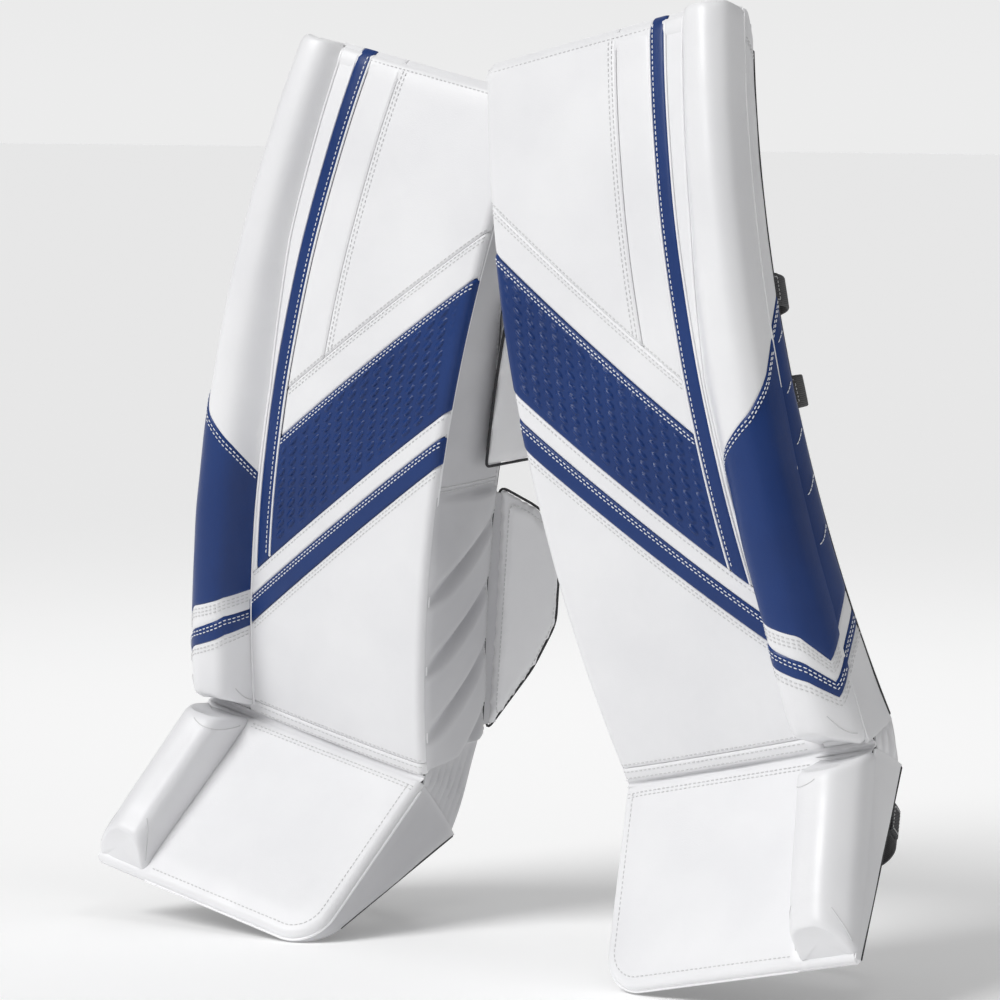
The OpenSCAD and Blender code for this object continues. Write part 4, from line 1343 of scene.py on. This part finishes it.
def cushions():
    made = {}
    block = [(s, float(side_depth(s)) + 1) for s in BLOCK_S] + [(500, 104), (480, 118), (348, 150)]
    v, f = swell(prism(shrink(block, 4.5), -11, 49, lambda s, dep, x: leg(x, s, -dep), 8), 6.0)
    made["knee_block"] = keep_behind(v, lambda s: side_depth(s) + 1.2), f
    flap = prism(shrink(FLAP, 1.6), -13.0, -7.5, lambda s, dep, x: leg(x, s, -dep), 7)
    made["knee_flap"] = swell(flap, 3.0, 4.0, MEDIALLY)
    for name, (outline, place) in WINGS.items():
        wing = prism(shrink(outline, 1.6), -3.6, 3.6, place, 7)
        made[name] = swell(wing, 5.0, 4.0, place(0, 0, 1) - place(0, 0, 0))
    for name, (s0, s1, h) in CRADLE.items():
        o = [(CRADLE_X[0], 1), (CRADLE_X[0], h), (84, h), (CHANNEL_X[0], CHANNEL_H),
             (CHANNEL_X[1], CHANNEL_H), (192, h), (CRADLE_X[1], h), (CRADLE_X[1], 1)]
        block = prism(shrink(o, 3.0), s0 + 4, s1 - 4, lambda x, dep, s: leg(x, s, -LINER_D - dep), 9)
        v, f = swell(block, 5.0)
        made[name] = keep_behind(v, lambda s: 41.8 + 0 * s), f
    return made


def build_cushions(pad, made):
    padding = (WHITE, "white_skin")
    lining = (CRADLE_CLOTH, "cradle_fabric")
    for name, (mat, slot), fill, body in (
            ("knee_block", padding, 0.9, "leg"), ("knee_flap", padding, 0.6, "leg"),
            ("calf_wing", padding, 0.6, "calf_wing"), ("outer_wing", padding, 0.6, "outer_wing"),
            ("shin_cradle", lining, 0.6, "leg"), ("knee_cradle", lining, 0.6, "leg")):
        p = Parts()
        p.add(*made[name])
        p.make(name + "_cushion", pad, body, [mat], slot, [name] if name != "knee_flap" else (), fill=fill,
               subdiv=1)
    for name, (outline, place) in WINGS.items():
        p = Parts()
        ring = round_outline(shrink(outline, 0.5), 12)
        p.tube(np.array([place(y, z, 0.0) for y, z in ring]), 1.3, up=place(0, 0, 1) - place(0, 0, 0))
        p.make(name + "_binding", pad, name, [BINDING], "webbing")
        p = Parts()
        ring = round_outline(shrink(outline, 9.0), 12)
        for x in (-7.2, 7.2):
            line = np.array([place(y, z, x) for y, z in ring])
            p.stitches(line, place(0, 0, x) - place(0, 0, 0), lift=-0.1)
        p.make(name + "_stitching", pad, name, [SHADED_THREAD], "white_skin")


def build_cushion_bindings(pad):
    """Bindings of the knee block, its flap and the cradles."""
    p = Parts()
    edge = [(s, float(side_depth(s)) + 3) for s in BLOCK_S] + [(500, 103), (480, 117.5), (348, 149.5)]
    for x, outline, corner, radius in ((53.0, edge, 8, 1.3), (-11.5, shrink(FLAP, 0.6), 6, 1.5)):
        p.tube(np.array([leg(x, s, -d) for s, d in round_outline(outline, corner)]), radius, up=LATERAL)
    p.make("block_binding", pad, "leg", [BINDING], "webbing")
    p = Parts()
    for s0, s1, _ in CRADLE.values():
        ss = np.linspace(s0 + 3, s1 - 3, 50)
        for x in (CRADLE_X[0] + 0.5, CRADLE_X[1] - 0.5):
            p.tube(leg(x, ss, -42.5), 1.5)
        for x in CHANNEL_X:
            p.stitches(leg(x, ss, -LINER_D - CHANNEL_H - 3.0), -face_normal(leg(x, ss, -50)))
    p.make("cradle_binding", pad, "leg", [BINDING], "webbing")


def build_wing_hinges(pad):
    for name, anchor, y1, foot in (("calf_wing", [(26, 101.4), (14, 102.6)], 18, -146),
                                   ("outer_wing", [(277.0, 41.8), (271, 43.5)], 16, -100)):
        place = WINGS[name][1]
        z = spread(foot, 100, 8)
        tip0, tip1 = place(2.0, 0, 0), place(y1, 0, 0)
        pts = [station(WING_S, x, y, 0) for x, y in anchor] + [tip0, lerp(tip0, tip1, 0.5), tip1]
        pts = curve_through(pts, 16, 10)[0]
        up = station(WING_S, 0, 0, 1) - station(WING_S, 0, 0, 0)
        grid = pts[None] + up * z[:, None, None]
        normal = np.cross(np.gradient(pts, axis=0), up)
        half = 1.6 * normal / np.linalg.norm(normal, axis=1)[:, None]
        p = Parts()
        p.sheet(grid + half[None], grid - half[None])
        p.make(name + "_hinge", pad, None, [MEDIAL_SHADED], "medial_skin",
               bend=("leg", name, pad.world(pts[2]), pad.world(pts[-4])))


# --------------------------------------------------------------------------- straps
def arc_through(p, q, r, n):
    """Points and outward normals on the circle through three points."""
    (ax, ay), (bx, by), (cx, cy) = p, q, r
    a2, b2, c2 = ax ** 2 + ay ** 2, bx ** 2 + by ** 2, cx ** 2 + cy ** 2
    dd = 2 * (ax * (by - cy) + bx * (cy - ay) + cx * (ay - by))
    ux = (a2 * (by - cy) + b2 * (cy - ay) + c2 * (ay - by)) / dd
    uy = (a2 * (cx - bx) + b2 * (ax - cx) + c2 * (bx - ax)) / dd
    a0, a1, a2 = (math.atan2(y - uy, x - ux) for x, y in (p, q, r))
    while a1 < a0:
        a1 += 2 * math.pi
    while a2 < a1:
        a2 += 2 * math.pi
    if a2 - a0 > 2 * math.pi:
        a2 -= 2 * math.pi
    a = np.linspace(a0, a2, n)
    out = np.stack([np.cos(a), np.sin(a)], -1)
    return np.array([ux, uy]) + math.hypot(ax - ux, ay - uy) * out, out


STRAP_W = 29.2
STITCHED = STRAP_W / 2 - 4.1


def build_straps(pad):
    def on_leg(s0):
        return lambda x, y, z: station(s0, x, y, z)

    def on_boot(x, y, z):
        return pad.boot(x, 44 - z, -y)

    for name, place, pts in (("knee_strap", on_leg(432), ((250, 47), (160, 178), (40, 138))),
                             ("calf_strap", on_leg(329), ((250, 47), (150, 184), (12, 105))),
                             ("boot_strap", on_boot, ((262, 44), (160, 150), (36, 88)))):
        arc, nrm = arc_through(*pts, 90)
        run = np.r_[0, np.cumsum(np.linalg.norm(np.diff(arc, axis=0), axis=1))]
        w = STRAP_W / 2
        zz = np.array([-w, -w + 1.2, -w * 0.5, 0, w * 0.5, w - 1.2, w])
        half = np.array([0.7, 1.4, 1.5, 1.5, 1.5, 1.4, 0.7])

        def face(pts, normals, off, side, width):
            return np.array([[place(*(p + q * (off + side * h)), z * width) for z, h in zip(zz, half)]
                             for p, q in zip(pts, normals)])

        def band(parts, lo, hi, off, width):
            sel = (run >= lo) & (run <= hi)
            parts.sheet(*(face(arc[sel], nrm[sel], off, side, width) for side in (1, -1)))

        p = Parts()
        band(p, 0, run[-1], 0, 1.0)
        p.make(name + "_band", pad, name, [ELASTIC], "strap_elastic", [name])
        p = Parts()
        band(p, 14, 44, 2.7, 0.97)
        band(p, run[-1] - 44, run[-1] - 1, 2.7, 0.97)
        band(p, run[-1] - 52, run[-1] - 42, 3.6, 1.1)
        p.make(name + "_tab", pad, name, [WEBBING], "webbing")
        p = Parts()
        for lo, hi in ((18, 40), (run[-1] - 38, run[-1] - 8)):
            sel = (run >= lo) & (run <= hi)
            a, m = arc[sel], nrm[sel]
            across = np.linspace(-STITCHED, STITCHED, 12)
            rows = [[(q, n, z) for q, n in zip(a, m)] for z in (-STITCHED, STITCHED)]
            rows += [[(a[k], m[k], z) for z in across] for k in (0, -1)]
            for row in rows:
                line = np.array([place(*(q + n * 4.2), z) for q, n, z in row])
                above = np.array([place(*(q + n * 5.2), z) for q, n, z in row])
                p.stitches(line, above - line, length=2.4, gap=1.2)
        p.make(name + "_thread", pad, name, [SHADED_THREAD], "webbing")


# --------------------------------------------------------------------------- both pads
made = cushions()
for side in ("left", "right"):
    pad = Pad(side)
    build_face(pad)
    build_roll(pad)
    build_wall(pad)
    build_gusset(pad)
    build_riser(pad)
    build_liner(pad)
    build_top(pad)
    build_boot(pad)
    build_folds(pad)
    build_cushions(pad, made)
    build_cushion_bindings(pad)
    build_wing_hinges(pad)
    build_straps(pad)
    for node, mat in (("toe_bridge", TOE), ("strap_anchors", WEBBING)):
        obj = bpy.data.objects[f"{side}_{node}"]
        obj.data.materials.clear()
        obj.data.materials.append(mat)

# --------------------------------------------------------------------------- studio
scene = bpy.context.scene
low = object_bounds()[0]
floor_mesh = bpy.data.meshes.new("floor")
FLOOR = 40.0
corners = [(-FLOOR, -FLOOR, 0), (FLOOR, -FLOOR, 0), (FLOOR, FLOOR, 0), (-FLOOR, FLOOR, 0)]
floor_mesh.from_pydata(corners, [], [(0, 1, 2, 3)])
floor = bpy.data.objects.new("floor", floor_mesh)
floor.location = (0, 0, float(low[2]) - 0.0005)
scene.collection.objects.link(floor)
mat, nt, bsdf, coord = node_material("pale_floor")
bsdf.inputs["Base Color"].default_value = (0.88, 0.88, 0.88, 1)
bsdf.inputs["Roughness"].default_value = 0.8
bsdf.inputs["Specular IOR Level"].default_value = 0.0
bsdf.inputs["Emission Color"].default_value = (1, 1, 1, 1)
bsdf.inputs["Emission Strength"].default_value = 0.2
floor_mesh.materials.append(mat)
floor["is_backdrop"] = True

world = bpy.data.worlds.new("studio")
scene.world = world
world.use_nodes = True
sky = world.node_tree
sky_coord = sky.nodes.new("ShaderNodeTexCoord")
split = sky.nodes.new("ShaderNodeSeparateXYZ")
sky.links.new(sky_coord.outputs["Generated"], split.inputs[0])
glow = ramp(sky, split.outputs["Z"], [(z, (red, red, blue)) for z, red, blue in (
    (0.0, 0.84, 0.84), (0.06, 0.8, 0.8), (0.2, 0.11, 0.115), (0.6, 0.2, 0.2), (1.0, 0.3, 0.3))])
sky.links.new(glow, sky.nodes["Background"].inputs["Color"])

TARGET = Vector((-0.2046, 0.0207, -0.1379))
VIEW = 37, 5, 4.6  # azimuth, elevation and distance of the camera


def towards(azimuth, elevation):
    a, e = math.radians(azimuth), math.radians(elevation)
    return Vector((math.sin(a) * math.cos(e), -math.cos(a) * math.cos(e), math.sin(e)))


def look_from(obj, azimuth, elevation, distance):
    """Stands an object off the target and points it there."""
    back = towards(azimuth, elevation)
    obj.location = TARGET + back * distance
    obj.rotation_euler = back.to_track_quat("Z", "Y").to_euler()
    scene.collection.objects.link(obj)


def area(name, azimuth, elevation, size, power):
    light = bpy.data.lights.new(name, "AREA")
    light.shape = "SQUARE"
    light.size = size
    light.energy = power
    obj = bpy.data.objects.new(name, light)
    look_from(obj, azimuth, elevation, 3.0)
    obj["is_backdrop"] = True


key_light = bpy.data.lights.new("key", "SUN")
key_light.energy = 2.1
key_light.angle = math.radians(30)
obj = bpy.data.objects.new("key", key_light)
look_from(obj, -20, 42, 3.0)
obj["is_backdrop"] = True
area("fill", 80, 68, 0.5, 5)
area("back", 215, 45, 2.0, 12)

camera = bpy.data.cameras.new("camera")
camera.lens = 175.3
camera.sensor_width = 36
camera.clip_end = 200
cam = bpy.data.objects.new("camera", camera)
look_from(cam, *VIEW)
scene.camera = cam
scene.view_settings.view_transform = "Standard"
